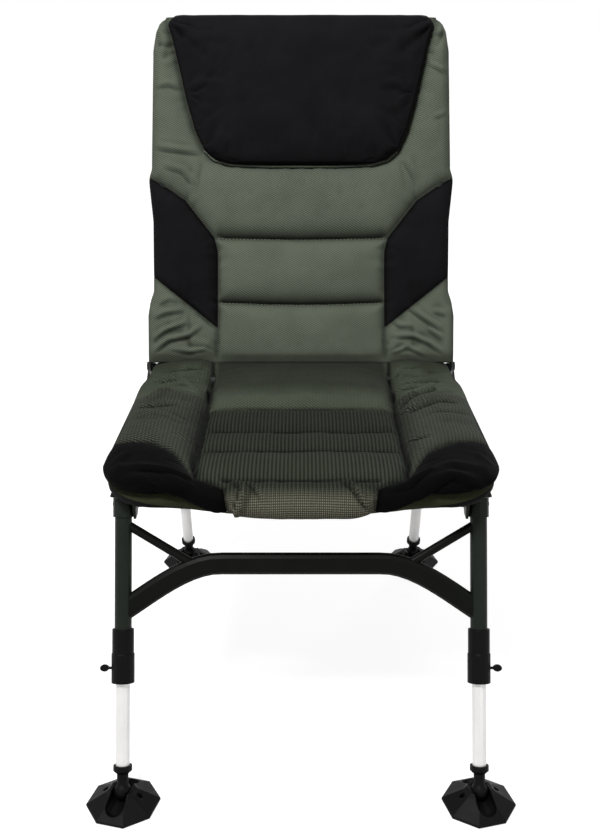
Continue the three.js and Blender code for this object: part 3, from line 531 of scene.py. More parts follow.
def ramp(count, width):
    """From 0 at both ends of a row of points to 1 a few points further in."""
    k = np.arange(count)
    return np.minimum(1, np.minimum(k, count - 1 - k) / width)


def pairs(x, y):
    return np.stack(np.broadcast_arrays(x, y), -1)


def pushed(points, millimetres, way):
    return points + millimetres[..., None] / 1000 * way


def run_of(line):
    """How far along a line of points each of them lies."""
    steps = np.diff(np.asarray(line, float), axis=0)
    return np.concatenate([[0], np.cumsum(np.linalg.norm(steps, axis=1))])


def points_along(line, at):
    """The places that lie so far along a line of points."""
    return np.stack([np.interp(at, run_of(line), axis) for axis in np.transpose(line)], -1)


# ---------- mesh making
CLOTH = {"quality": 6, "mass": 0.3, "tension_stiffness": 6, "compression_stiffness": 6, "shear_stiffness": 5,
         "bending_stiffness": 0.2, "vertex_group_mass": "held", "pin_stiffness": 1, "use_pressure": True,
         "vertex_group_shrink": "loose", "shrink_min": 0}
CLOTH_FRAMES = 20
LEAST_HOLD = 0.02
STITCH_PROFILE = ((0.0, 0.3), (0.2, 0.9), (0.5, 1.0), (0.8, 0.9), (1.0, 0.3))
STITCH_RING = 6


def grid_faces(rows, columns, closed=False):
    faces = []
    for i in range(rows - 1):
        for j in range(columns if closed else columns - 1):
            a, b = i * columns + j, i * columns + (j + 1) % columns
            faces.append((a, b, b + columns, a + columns))
    return faces


def flipped(faces):
    return [face[::-1] for face in faces]


def caps(rows, ring):
    """The two end faces of a grid that is closed round."""
    last = (rows - 1) * ring
    return [tuple(range(ring)), tuple(range(last, last + ring))[::-1]]


def make_mesh(name, points, faces, material, uv=None, attributes=None, closed=True):
    mesh = bpy.data.meshes.new(name)
    mesh.from_pydata(points.reshape(-1, 3).tolist(), [], faces)
    mesh.validate()
    if closed:
        shell = bmesh.new()
        shell.from_mesh(mesh)
        bmesh.ops.recalc_face_normals(shell, faces=shell.faces)
        shell.to_mesh(mesh)
        shell.free()
    if uv is not None:
        layer = mesh.uv_layers.new(name="cloth")
        corner = np.zeros(len(mesh.loops), np.int32)
        mesh.loops.foreach_get("vertex_index", corner)
        layer.data.foreach_set("uv", np.asarray(uv, np.float32).reshape(-1, 2)[corner].ravel())
    for key, values in (attributes or {}).items():
        attribute = mesh.attributes.new(key, "FLOAT", "POINT")
        attribute.data.foreach_set("value", np.asarray(values, np.float32).ravel())
    mesh.materials.append(material)
    mesh.polygons.foreach_set("use_smooth", [True] * len(mesh.polygons))
    return new_object(name, mesh)


def normals_of(points):
    """Outward normals of a grid of points, rows by columns, as grid_faces turns them."""
    du, dv = np.gradient(points, axis=(0, 1))
    n = np.cross(dv, du)
    return n / np.maximum(np.linalg.norm(n, axis=-1, keepdims=True), 1e-12)


def hollows(points, reach, scale):
    """How deep each point of a grid lies under the ones round it, 1 for scale in millimetres, at most 0.9. The
    cushions paint shade by it.
    """
    normal, around = normals_of(points), points
    window = 2 * reach + 1
    for axis in (0, 1):
        span = [(reach, reach) if k == axis else (0, 0) for k in range(3)]
        padded = np.pad(around, span, mode="edge")
        around = sum(np.take(padded, range(k, k + points.shape[axis]), axis) for k in range(window)) / window
    return np.clip(np.sum((around - points) * normal, axis=-1) * 1000 / scale, 0, 0.9)


def finer(grid, axis, closed=False):
    """Twice as many points along one axis, on smooth curves through the old ones."""
    g = np.moveaxis(grid, axis, 0)
    if closed:
        before, this, after, beyond = [np.roll(g, shift, 0) for shift in (1, 0, -1, -2)]
    else:
        padded = np.concatenate([2 * g[:1] - g[1:2], g, 2 * g[-1:] - g[-2:-1]])
        before, this, after, beyond = padded[:-3], padded[1:-2], padded[2:-1], padded[3:]
    made = np.empty((len(g) * 2 - (not closed),) + g.shape[1:])
    made[0::2] = g
    made[1::2] = (9 * (this + after) - before - beyond) / 16
    return np.moveaxis(made, 0, axis)


def refined(closed, *grids):
    """Grids with twice as many rows and twice as many columns; closed is for the columns."""
    return [finer(finer(grid, 0), 1, closed) for grid in grids]


def inflate(points, held, slack, outward, cap, pressure, growth):
    """Swells a grid of cloth points under air pressure, held at its seams, with slack to wrinkle in places."""
    rows, columns = points.shape[:2]
    faces = grid_faces(rows, columns)
    if np.sum(normals_of(points) * outward) < 0:
        faces = flipped(faces)
    mesh = bpy.data.meshes.new("swelling")
    mesh.from_pydata(points.reshape(-1, 3).tolist(), [], faces)
    obj = new_object("swelling", mesh)
    for name, weights, least in (("held", held, LEAST_HOLD), ("loose", slack * np.ones(held.shape), -1)):
        group = obj.vertex_groups.new(name=name)
        for index, weight in enumerate(np.clip(weights, 0, 1).ravel().tolist()):
            if weight > least:
                group.add([index], weight, "REPLACE")
    cloth = obj.modifiers.new("cloth", "CLOTH")
    for name, value in {**CLOTH, "uniform_pressure_force": pressure, "shrink_max": -growth}.items():
        setattr(cloth.settings, name, value)
    cloth.settings.effector_weights.gravity = 0
    cloth.collision_settings.use_collision = False
    cloth.point_cache.frame_start, cloth.point_cache.frame_end = 1, CLOTH_FRAMES
    for step in range(1, CLOTH_FRAMES + 1):
        scene.frame_set(step)
    solved = obj.evaluated_get(bpy.context.evaluated_depsgraph_get())
    moved = np.empty(rows * columns * 3)
    solved.data.vertices.foreach_get("co", moved)
    scene.frame_set(1)
    bpy.data.objects.remove(obj)
    bpy.data.meshes.remove(mesh)
    push = moved.reshape(rows, columns, 3) - points
    size = np.linalg.norm(push, axis=-1, keepdims=True)
    return points + push * cap * np.tanh(size / cap) / np.maximum(size, 1e-9)


def unit(vector):
    return vector / max(np.linalg.norm(vector), 1e-9)


def stitches(name, points, field, lines, pitch, length, thick, outward, body):
    """Short raised threads along seams, lying on the cloth."""
    flat = points.reshape(-1, 3)
    tree = KDTree(len(flat))
    for i, (u, v) in enumerate(field.reshape(-1, 2).tolist()):
        tree.insert((u, v, 0), i)
    tree.balance()

    def surface(u, v):
        near = tree.find_n((u, v, 0), 4)
        weight = np.array([1 / (n[2] + 0.05) for n in near])
        return (np.array([flat[n[1]] for n in near]) * weight[:, None]).sum(0) / weight.sum()

    made, faces = [], []
    rings = len(STITCH_PROFILE)
    thread_faces = grid_faces(rings, STITCH_RING, True) + flipped(caps(rings, STITCH_RING))
    for line in lines:
        starts = np.arange(pitch / 2, run_of(line)[-1] - length, pitch)
        for start, end in zip(points_along(line, starts), points_along(line, starts + length)):
            a, b = surface(*start), surface(*end)
            along = unit(b - a)
            side = unit(np.cross(along, outward))
            up = np.cross(side, along)
            faces += [tuple(len(made) + k for k in face) for face in thread_faces]
            for share, size in STITCH_PROFILE:
                centre = a + (b - a) * share + up * thick * (0.2 + 0.5 * math.sin(share * math.pi))
                for k in range(STITCH_RING):
                    angle = k * math.tau / STITCH_RING
                    made.append(centre + size * thick / 2 * (side * math.cos(angle) + up * math.sin(angle)))
    obj = make_mesh(name, np.array(made), faces, THREAD)
    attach(obj, body)


# ---------- seat cushion
# The bent front bar: the centre and radius of its bends, its tube's radius, how far it bows forward and dips in
# the middle, and its height at the rails. Then the cushion's half width and rear edge.
CORNER_X, CORNER_Y = 193.5, 10.0
BEND, TUBE = 55.0, 12.5
BOW, DIP, BAR_Z = 8.0, 13.0, 430.5
SIDE, REAR = 268.0, 446.0
FRONT_PADDING = 8.0
UNDERSIDE = -400.0
TOP_ROWS, NOSE_SHARE, UNDER_ROWS = 76, 3, 14
SEAT_PATCH = [(290, 82), (255.6, 77), (213, 68), (176, 34), (141, -24), (102, -52), (98, -92),
              (98, -220), (290, -220)]
SEAT_SIDE_SEAM = [(152, 445), (148, 340), (145, 246), (145, 70), (146, 12), (141, -24)]
SEAT_CROSS = [(229, 143), (137, 144), (65, 146), (-34, 103)]
SEAT_CREASES = line_rows(
    (-230, 424, -204, 406, -172, 412, -152, 436, 8, 9), (-252, 352, -224, 330, -186, 346, 7, 9),
    (230, 414, 204, 396, 166, 420, 8, 9), (250, 300, 222, 290, 186, 300, 7, 9),
    (-254, 196, -226, 190, -190, 200, 5, 6), (254, 186, 228, 176, 196, 186, 5, 6),
    (-150, 372, -172, 360, -196, 366, 5, 4.5), (-148, 292, -168, 284, -190, 290, 5, 4.5),
    (150, 302, 170, 296, 188, 304, 5, 4.5), (-147, 206, -166, 202, -186, 208, 4.5, 4.5),
    (147, 190, 166, 186, 188, 190, 4.5, 4.5), (-146, 92, -164, 84, -186, 88, 4.5, 4.5),
    (146, 84, 166, 76, 186, 80, 4.5, 4.5), (-201, 282, -245, 236, 8, 6),
    (-163, 306, -214, 362, -246, 336, 8, 6), (-150, 400, -196, 384, -236, 396, 6.4, 8),
    (-164, 146, -216, 177, -258, 167, 4.2, 7), (160, 177, 214, 214, 246, 216, 6.4, 6),
    (148, 214, 184, 259, 234, 288, 8, 6), (153, 340, 190, 330, 240, 352, 7, 8),
    (153, 384, 172, 405, 214, 422, 6.4, 8), (-97, -38, -79, -58, -91, -98, 8.8, 3.5),
    (47, -38, 64, -58, 88, -88, 8.8, 3.5), (-88, -44, -64, -56, -50, -80, 3.8, 4),
    (-232, -60, -196, -72, -158, -78, 4.5, 7), (152, -84, 196, -62, 236, -70, 4.5, 7),
    (-214, -44, -180, -52, -140, -50, 4.2, 6), (118, -66, 150, -60, 180, -44, 4.2, 6))
SEAT_SWELLS = line_rows(
    (-258, 372, -214, 398, -160, 402, 6.5, 11), (-254, 300, -206, 322, -160, 330, 5, 10),
    (-256, 226, -204, 252, -158, 262, 5.5, 13), (-262, 132, -206, 118, -160, 110, 5, 14),
    (258, 386, 214, 402, 160, 408, 6, 11), (256, 318, 210, 310, 160, 322, 5.5, 10),
    (258, 246, 204, 238, 158, 236, 5, 12), (262, 150, 208, 146, 160, 120, 5.5, 14),
    (-250, -30, -206, -34, -150, -66, 5, 11), (250, -36, 200, -28, 146, -60, 5, 11))
SEAT_CROSS_SEAMS = [[(-half, y), (half, y)] for y, half in SEAT_CROSS]
SEAT_SEAMS = both_sides(SEAT_SIDE_SEAM) + SEAT_CROSS_SEAMS + both_sides(SEAT_PATCH[:8])
SEAT_PINCHES = [((s * 152, 446), 52, 2.6, 7, seed, -90 + s * 50, 0.9) for s, seed in ((-1, 5), (1, 6))]
SEAT_FOLDS = (mirrored([(152, 205), (190, 214), (232, 204)], 1.8, 8, 0.4)
              + mirrored([(236, 20), (250, -10), (238, -40)], 3.6, 8, 0.5)
              + [([(-170, 252), (0, 254), (170, 252)], 7, 16)]
              + [(*swell, 0.3) for swell in SEAT_SWELLS])
SEAT_WAVES = [(1.0, 46, 46, 31), (0.5, 17, 21, 32)]
SEAT_CUTS = (mirrored(SEAT_SIDE_SEAM, 10, 5.5, 0.9, 3, 16)
             + [(line, 5.0 if i else 6.5, 6, 0.8, 11 + i, 12) for i, line in enumerate(SEAT_CROSS_SEAMS)]
             + mirrored(SEAT_PATCH[:8], 5, 6, 1.2, 21, 12))


def corner_edge(x, radius):
    """How far forward a bend of this radius, round the front bar's centre, lies at x."""
    out = np.clip(np.abs(x) - CORNER_X, 0, radius)
    return CORNER_Y - np.sqrt(radius ** 2 - out ** 2)


def dip_share(x):
    return 1 - ease(0, CORNER_X, np.abs(x))


def seat_top(x, y):
    """Height of the seat's upper skin before its rounded outer edge."""
    away = np.abs(x)
    side = ease(140, 178, away)
    front, rear = 448 + 14 * side, 441 + 6 * side
    z = front + (rear - front) * ease(np.where(side > 0.5, 190, 300), 369, y)
    corner = ease(195, 232, away) * ease(350, 385, y)
    return z + 13 * ease(385, REAR, y) * (1 - corner) + (13 * ease(414, 440, y) - 2.5) * corner


def seat_relief(x, q):
    """Folds, swells and seams of the seat, in millimetres out of its skin."""
    forms = total(x, q, (crease, SEAT_CREASES), (pinch, SEAT_PINCHES), (fold, SEAT_FOLDS), (wave, SEAT_WAVES))
    return puff(nearest(x, q, SEAT_SEAMS), 5.0, 16) + forms - cut(x, q, SEAT_CUTS)


def smooth_line(knots):
    """Points on a smooth curve from the second knot to the last but one."""
    made = []
    for p0, p1, p2, p3 in zip(knots[:-3], knots[1:-2], knots[2:-1], knots[3:]):
        for t in np.arange(NOSE_SHARE) / NOSE_SHARE:
            made.append(0.5 * (2 * p1 + (p2 - p0) * t + (2 * p0 - 5 * p1 + 4 * p2 - p3) * t ** 2
                               + (3 * p1 - p0 - 3 * p2 + p3) * t ** 3))
    return np.array(made)


def seat_line(x):
    """One loop of points round the cushion at x, from its rear edge over the top and the nose and back below."""
    away = abs(x)
    dip = dip_share(x)
    tube_front = corner_edge(x, BEND + TUBE) - BOW * dip
    front = corner_edge(x, BEND + TUBE + FRONT_PADDING) - BOW * dip
    tube_z = BAR_Z - DIP * dip
    start = front + 26
    y = np.linspace(REAR, start, TOP_ROWS)
    z = seat_top(x, y)
    over = tube_z + 13.2
    hang = 413 + 3 * ease(60, 100, away)
    hang += (over + 3 - hang) * ease(98, 172, away)
    tall = z[-1] - hang
    knots = np.array([
        (front + 40, seat_top(x, front + 40)), (start, z[-1]),
        (front + 10, z[-1] - 0.1 * tall), (front + 1.5, z[-1] - 0.32 * tall),
        (front, z[-1] - 0.6 * tall), (front + 1.5, hang + 0.12 * tall),
        (front + 4, hang), (tube_front - 1.2, hang + 1.5),
        (tube_front - 1.2, max(tube_z + 6, hang + 2.2)), (tube_front + 5, over),
        (tube_front + 26, over)], float)
    nose = smooth_line(knots)[1:]
    inner_z = 433.2 if away < 232 else over
    under_y = np.linspace(knots[-2][0], REAR, UNDER_ROWS)
    under_z = over + (inner_z - over) * ease(tube_front + 20, tube_front + 32, under_y)
    rise = ease(372, 440, under_y)
    under_z += (seat_top(x, under_y) - 12 - under_z) * rise
    line = np.concatenate([pairs(y, z), nose, pairs(under_y, under_z)])
    steps = np.hypot(*np.diff(np.concatenate([[line[TOP_ROWS - 1]], nose]), axis=0).T)
    q = np.concatenate([y, start - np.cumsum(steps), np.full(UNDER_ROWS, UNDERSIDE)])
    roundness = 1 - dome((SIDE - away) / (SIDE - 226))
    middle = 447.5 + 5.5 * ease(160, -20, line[:, 0])
    line[:, 1] += (middle - line[:, 1]) * roundness
    return line, q, len(nose)


def waist(x, y):
    """How far the cushion's side comes in, behind its wide front."""
    depth = 4 * ease(40, 150, y) + 8 * ease(325, 405, y)
    return np.sign(x) * depth * ease(190, SIDE, np.abs(x))


def rear_corner(x, q):
    """1 at the seat's rear corners, which are held down."""
    return ease(200, 225, np.abs(x)) * ease(350, 385, q)


def seat_painted_shade(x, q):
    """How much painted shade darkens the seat's cloth, from 0 to 1: in its seams, along the bolsters and towards the
    back.
    """
    seam = nearest(x, q, both_sides(SEAT_SIDE_SEAM))
    middle = ease(150, 140, np.abs(x))
    layers = [
        bell(seam / 2.6) + 0.4 * bell(seam / 9),
        0.45 * ease(26, 4, np.abs(np.abs(x) - 150)) * ease(-10, 60, q),
        0.6 * bell(nearest(x, q, both_sides(SEAT_PATCH[:8])) / 4),
        0.45 * ease(-60, 200, q) * (np.abs(x) < 146) * (q < 229),
        middle * (0.7 * ease(250, 330, q) + 0.2 * ease(350, REAR, q)),
        (1 - middle) * (0.25 * ease(262, 330, q) + 0.5 * ease(400, REAR, q))]
    for level, half in SEAT_CROSS:
        nearer = level - q
        within = ease(-4, 10, half - np.abs(x))
        layers.append(0.85 * within * bell((nearer - 1) / np.where(nearer > 1, 6, 1.6)))
        layers.append(0.5 * within * ease(44, 4, nearer) * (nearer > 0))
    return most(*layers)


def seat_cushion():
    points, field = [], []
    for x in SIDE * spacing(91):
        line, q, nose = seat_line(x)
        points.append(place(x - waist(x, line[:, 0]), line[:, 0], line[:, 1]))
        field.append(pairs(x, q))
    points, field = np.array(points), np.array(field)
    shown = TOP_ROWS + nose - 7
    x, q = field[:, :shown, 0], field[:, :shown, 1]
    away = np.abs(x)
    held = most(0.95 * bell(nearest(x, q, SEAT_SEAMS) / 4.5), ease(252, 266, away),
                1 - ramp(shown, 3)[None, :], 0.9 * rear_corner(x, q))
    slack = most(ease(146, 176, away) * (0.1 + 0.6 * ease(250, 320, q)),
                 0.5 * ease(90, 110, away) * ease(-20, -50, q))
    points[:, :shown] = inflate(points[:, :shown], held, slack, OUT_OF_SEAT, 0.012, 14.0, 0.06)
    points, field = refined(True, points, field)
    rows, count = points.shape[:2]
    shown = 2 * shown
    field[:, shown + 10:, 1] = UNDERSIDE
    x, q = field[..., 0], field[..., 1]
    away = np.abs(x)
    fade = (1 - 0.75 * ease(250, SIDE, away)) * (1 - 0.6 * ease(380, 430, q))
    fade *= 1 - 0.7 * rear_corner(x, q)
    column = np.arange(count)[None, :]
    upper = np.minimum(1, column / 6) * np.clip((shown - column) / 6, 0, 1)
    points = pushed(points, seat_relief(x, q) * fade * upper, normals_of(points))
    top = column < shown
    patch = most(signed(x, q, SEAT_PATCH), signed(-x, q, SEAT_PATCH))
    # Painted shade of the seat: darker in its seams, in hollows and towards the back.
    painted_shade = seat_painted_shade(x, q)
    painted_shade[:, :shown] = most(painted_shade[:, :shown], hollows(points[:, :shown], 3, 2.0))
    faces = grid_faces(rows, count, True) + caps(rows, count)
    shape = make_mesh("seat_cushion", points, faces, SEAT_CLOTH, field / 1000, {
        "patch": np.where(top, patch, np.where(away > 98, 5.0, -5.0)),
        "painted_shade": np.where(top, painted_shade, 0), "roll": np.minimum(-75 - q, 104 - away),
        "middle": 145 - away, "plain": np.where(away < 146, q - 229, q - 262)})
    return shape, points[:, :shown], field[:, :shown]


seat, seat_points, seat_field = seat_cushion()
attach(seat, "seat")
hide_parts("seat_pad")
seat_lines = [[(-half + 6, y - 1), (half - 6, y - 1)] for y, half in SEAT_CROSS[1:]]
stitches("seat_stitches", seat_points, seat_field, seat_lines, 5.4, 2.4, 0.0007, OUT_OF_SEAT, "seat")


# ---------- back cushion
BACK_COLUMNS = 91
TOP_CLOSING = 0.78
OVERHANG, OVERHANG_REACH = 3.5, 9.0
BACK_OUTLINE = [(4, 266), (88, 266), (112, 262), (130, 256), (250, 256), (318, 263), (326, 263), (340, 258),
                (540, 254), (572, 249), (588, 242), (596, 232)]
BACK_PANEL = [(290, 330), (262, 325), (242, 314), (200, 286), (172, 250), (150, 222), (144.5, 200),
              (144, 180), (145, 66), (290, 182)]
HEADREST = [(0, 345.5), (60, 345.5), (120, 348), (149, 356), (166, 372), (181, 402), (196, 455),
            (206, 500), (220, 560), (233, 600)]
BACK_SEAMS = [[(-150, 222), (0, 219), (150, 222)], [(-145, 111), (-60, 108), (0, 107), (60, 108), (145, 111)]]
HEADREST_RING = [(-x, r) for x, r in HEADREST[::-1]] + HEADREST[1:]
CORNER_SEAM = [(145, 66), (146.5, 8)]
REAR_RING = [(-238, 20), (-230, 240), (-226, 562), (226, 562), (230, 240), (238, 20), (-238, 20)]
REAR_CREASES = line_rows(
    (-232, 28, -204, 62, -168, 96, 3, 7), (232, 28, 206, 70, 176, 90, 3, 7),
    (-226, 140, -186, 152, -120, 148, 2.2, 8), (226, 196, 180, 204, 128, 198, 2.2, 8),
    (-222, 552, -196, 514, -158, 486, 2.6, 8), (222, 552, 198, 520, 150, 498, 2.6, 8),
    (-224, 388, -170, 380, -112, 384, 2, 8), (224, 344, 176, 352, 124, 346, 2, 8))
BACK_LINES = BACK_SEAMS + both_sides(BACK_PANEL) + both_sides(CORNER_SEAM) + [HEADREST_RING]
BACK_CREASES = line_rows(
    (-256, 40, -231, 58, -194, 72, 6, 5), (-254, 19, -227, 41, -192, 49, -168, 68, 6.5, 5),
    (-226, 24, -192, 20, -158, 27, 5, 5), (-190, 108, -175, 88, -151, 64, 4.5, 4.5),
    (-254, 78, -231, 88, -200, 93, 4.5, 5), (-246, 104, -226, 112, -206, 108, 3, 5),
    (156, 48, 193, 47, 219, 36, 244, 18, 6.5, 5), (182, 101, 210, 79, 240, 60, 5.5, 5),
    (160, 18, 184, 29, 214, 14, 5, 4.5), (217, 62, 243, 43, 4.5, 4.5), (152, 78, 172, 66, 196, 66, 4, 4.5),
    (226, 92, 250, 84, 3.5, 5), (-257, 371, -220, 365, -166, 360, 4, 6),
    (-250, 552, -228, 542, -212, 551, 3.5, 5), (-254, 472, -226, 476, -202, 468, 3, 5),
    (214, 512, 248, 496, 3.5, 5), (173, 354, 192, 318, 3, 6), (-236, 338, -206, 330, -184, 306, 3, 6),
    (204, 566, 226, 560, 250, 566, 3, 5), (226, 420, 252, 428, 2.4, 5))
BACK_PINCHES = [row for s, seed in ((-1, 71), (1, 72)) for row in (
    ((s * 244, 590), 62, 3.8, 9, seed, -90 - s * 12, 0.9),
    ((s * 200, 540), 60, 2.0, 8, seed + 2, -90 + s * 62, 0.8),
    ((s * 148, 24), 62, 3.0, 8, seed + 4, 90 - s * 52, 0.9))]
BACK_WAVES = [(1.0, 52, 60, 81), (0.5, 19, 23, 82)]
REAR_WAVES = [(1.2, 60, 80, 91), (0.5, 22, 30, 92)]
BACK_CUTS = ([(line, 8.5, 9, 0.8, 41 + i, 13) for i, line in enumerate(BACK_SEAMS)]
             + mirrored(BACK_PANEL[:9], 7, 8, 1.8, 51, 12)
             + mirrored(CORNER_SEAM, 5, 6, 1.2, 55, 11)
             + mirrored(BACK_PANEL[8:10], 1.8, 4, 0.8, 57, 11)
             + [(HEADREST_RING, 5, 7, 1.6, 61, 14)])


def back_relief(x, r):
    forms = total(x, r, (crease, BACK_CREASES), (pinch, BACK_PINCHES), (wave, BACK_WAVES))
    return puff(nearest(x, r, BACK_LINES), 6.5, 16) + forms - cut(x, r, BACK_CUTS)


def rear_relief(x, r):
    """The rear panel: the frame's tubes press through, its hem is sewn down, creases run off the corners."""
    away = np.abs(x)
    tubes = 2.0 * bell((away - 240) / 9)
    tubes += (1.6 * bell((r - 72) / 10) + 2.0 * bell((r - 576) / 9)) * ease(240, 220, away)
    forms = total(x, r, (crease, REAR_CREASES), (wave, REAR_WAVES))
    return tubes + forms - groove(x, r, REAR_RING, 2.6, 4, 0.6, 63, 14)


def over_seam(x, r, line, fade):
    """How far a point lies above a cross seam, and a share that fades out at the seam's ends."""
    return r - np.interp(x, *zip(*line)), ease(*fade, 150 - np.abs(x))


def overhang(x, r):
    """How far the cloth above each cross seam sags down over it."""
    sag = np.zeros(np.shape(x))
    for line in BACK_SEAMS:
        above, within = over_seam(x, r, line, (0, 22))
        above = np.maximum(above / OVERHANG_REACH, 0)
        sag += above * np.exp(1 - above) * within
    return OVERHANG * sag


def back_ring(r):
    """One loop of points round the back at height r, from left to right in front and back again behind."""
    half = float(np.interp(r, *zip(*BACK_OUTLINE)))
    x = half * spacing(BACK_COLUMNS)
    rear_x = x[-2:0:-1]
    away = np.abs(x)
    closing = 1 - TOP_CLOSING * ease(570, 598, r) ** 2
    turn = 10 if r < 100 else 20
    swell = np.clip(1 - (x / 256) ** 2, 0, 1) * ease(120, 190, r)
    tube = most(ease(190, 222, away), ease(480, 545, r))
    plate = ease(222, 244, away) * ease(112, 92, r)
    w = (10 + 2 * swell + 5.5 * tube + 5 * plate) * closing * dome((half - away) / turn)
    rear_w = -13.2 * closing * dome((half - np.abs(rear_x)) / 16)
    xs = np.concatenate([x, rear_x])
    share = np.concatenate([1 - 0.6 * ease(half - 14, half, away), np.zeros(len(rear_x))])
    return on_back(xs, r, np.concatenate([w, rear_w])), pairs(xs, r), share


def back_painted_shade(x, r):
    """How much painted shade darkens the back's cloth, from 0 to 1: in its seams, under the headrest and above the
    seat.
    """
    layers = [0.75 * bell(nearest(x, r, BACK_LINES) / 4.5), 0.8 * bell((signed(x, r, HEADREST_RING) + 1) / 7),
              0.7 * ease(34, 6, r)]
    for line in BACK_SEAMS:
        above, within = over_seam(x, r, line, (-4, 14))
        layers.append(within * bell((above - 2.5) / np.where(above > 2.5, 17, 3.5)))
    return most(*layers)


def back_cushion():
    rs = [*np.linspace(6, 590, 102), 593, 595.5, 597, 597.5]
    points, field, front = [np.array(grid) for grid in zip(*map(back_ring, rs))]
    shown = BACK_COLUMNS
    x, r = field[:, :shown, 0], field[:, :shown, 1]
    held = most(0.95 * bell(nearest(x, r, BACK_LINES) / 4.5), 0.6 * ease(-4, 10, signed(x, r, HEADREST_RING)),
                1 - ramp(shown, 3)[None, :], 1 - ramp(len(rs), 3)[:, None])
    slack = most(ease(140, 170, np.abs(x)) * (0.15 + 0.85 * ease(125, 95, r)),
                 0.35 * ease(150, 180, np.abs(x)) * ease(320, 345, r))
    points[:, :shown] = inflate(points[:, :shown], held, slack, OUT_OF_BACK, 0.015, 14.0, 0.08)
    points, field, front = refined(True, points, field, front)
    rows, count = points.shape[:2]
    shown = 2 * shown - 1
    x, r = field[..., 0], field[..., 1]
    rear = (np.arange(count) >= shown)[None, :]
    ends = ramp(rows, 5)[:, None]
    front = np.where(rear, 0, front)
    lift = np.where(rear, -rear_relief(x, r), back_relief(x, r) * front)
    points = pushed(points, lift * ends, OUT_OF_BACK)
    points = pushed(points, -overhang(x, r) * front * ends, UP_BACK)
    patch = most(signed(x, r, BACK_PANEL), signed(-x, r, BACK_PANEL))
    # Painted shade of the back: in its seams, in hollows, under the headrest, above the seat and along the rear
    # panel's seam.
    painted_shade = back_painted_shade(x, r)
    painted_shade[:, :shown] = most(painted_shade[:, :shown], hollows(points[:, :shown], 3, 2.2))
    rear_seam_shade = 0.6 * bell(nearest(x, r, [REAR_RING]) / 3)
    faces = flipped(grid_faces(rows, count, True)) + caps(rows, count)
    shape = make_mesh("back_cushion", points, faces, BACK_CLOTH, field / 1000, {
        "patch": np.where(rear, -5.0, patch), "painted_shade": np.where(rear, rear_seam_shade, painted_shade)})
    return shape, points[:, :shown], field[:, :shown]


back, back_points, back_field = back_cushion()
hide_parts("back_pad", "back_rear_panel", "cover_crease")
back_lines = [[(x * 0.98, r - 1.2) for x, r in line] for line in BACK_SEAMS]
stitches("back_stitches", back_points, back_field, back_lines, 6.2, 3.6, 0.0009, OUT_OF_BACK, "back")


# ---------- headrest
PILLOW_BOTTOM, PILLOW_TOP = 346.0, 598.0
PILLOW_FOOT = [(96, 346), (112, 347.5), (127, 350), (148, 356), (160, 364), (167, 372)]
PILLOW_PINCHES = [row for s, seed in ((-1, 101), (1, 102)) for row in (
    ((s * 228, 592), 70, 3.6, 8, seed, -90 - s * 40, 0.9), ((s * 196, 462), 44, 2.6, 7, seed + 3, 90 + s * 90, 0.9))]
PILLOW_FOLDS = (mirrored([(205, 545), (160, 560), (110, 552)], 3.0, 9, 0.5)
                + mirrored([(196, 470), (160, 480), (128, 474)], 3.0, 7, 0.5))
PILLOW_WAVES = [(1.3, 70, 60, 111), (0.7, 24, 26, 112)]


def headrest_half(r):
    """Half the pillow's width at height r: its rounded foot, then the seam's line with rounded top corners."""
    xs, rs = zip(*(PILLOW_FOOT if r < 372 else HEADREST[2:]))
    return float(np.interp(r, rs, xs)) - 16 * max(0, (r - 578) / 20) ** 2


def headrest():
    points, field = [], []
    for r in PILLOW_BOTTOM + (PILLOW_TOP - PILLOW_BOTTOM) * np.linspace(0, 1, 52) ** 1.15:
        half = headrest_half(r)
        x = half * spacing(81)
        full = dome((half - np.abs(x)) / 24) * dome((r - PILLOW_BOTTOM) / 32)
        full *= 0.35 + 0.65 * dome((PILLOW_TOP - r) / 22)
        points.append(on_back(x, r, 16.0 * (1 - 0.72 * ease(572, 598, r)) + 2 + 21 * full))
        field.append(pairs(x, r))
    points, field = np.array(points), np.array(field)
    rows, count = points.shape[:2]
    held = 1 - np.minimum(ramp(count, 2)[None, :], ramp(rows, 2)[:, None])
    points = inflate(points, held, 0.3, OUT_OF_BACK, 0.010, 4.0, 0.05)
    points, field = refined(False, points, field)
    rows, count = points.shape[:2]
    x, r = field[..., 0], field[..., 1]
    ends = np.minimum(1, np.arange(rows) / 6)[:, None]
    relief = total(x, r, (pinch, PILLOW_PINCHES), (fold, PILLOW_FOLDS), (wave, PILLOW_WAVES))
    points = pushed(points, relief * ramp(count, 8)[None, :] * ends, OUT_OF_BACK)
    sink = 5.0 * bell((r - PILLOW_BOTTOM) / 9) * ease(0, 30, headrest_half(400) - np.abs(x))
    points = pushed(points, -sink * ends, UP_BACK)
    rear = on_back(x * 0.985, r, 9.0 * (1 - 0.5 * ease(572, 598, r)))
    size = rows * count
    faces = flipped(grid_faces(rows, count))
    faces += [tuple(size + k for k in face) for face in grid_faces(rows, count)]
    index = np.arange(size).reshape(rows, count)
    ring = np.concatenate([index[0], index[1:, -1], index[-1, -2::-1], index[-2:0:-1, 0]]).tolist()
    faces += [(a, b, size + b, size + a) for a, b in zip(ring, ring[1:] + ring[:1])]
    # Painted shade along the pillow's foot and in its hollows.
    painted_shade = most(0.6 * bell((r - PILLOW_BOTTOM) / 10), hollows(points, 3, 2.2))
    return make_mesh("headrest_pillow", np.stack([points, rear]), faces, BLACK_CLOTH,
                     np.stack([field, field]) / 1000, {"painted_shade": np.stack([painted_shade, painted_shade])})


pillow = headrest()
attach(pillow, "back")
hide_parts("headrest")


# ---------- piping and hem
HEM_EDGE = [(0, 412), (56, 408), (88, 408), (124, 412), (163, 419), (211, 428), (240, 432), (256, 434)]


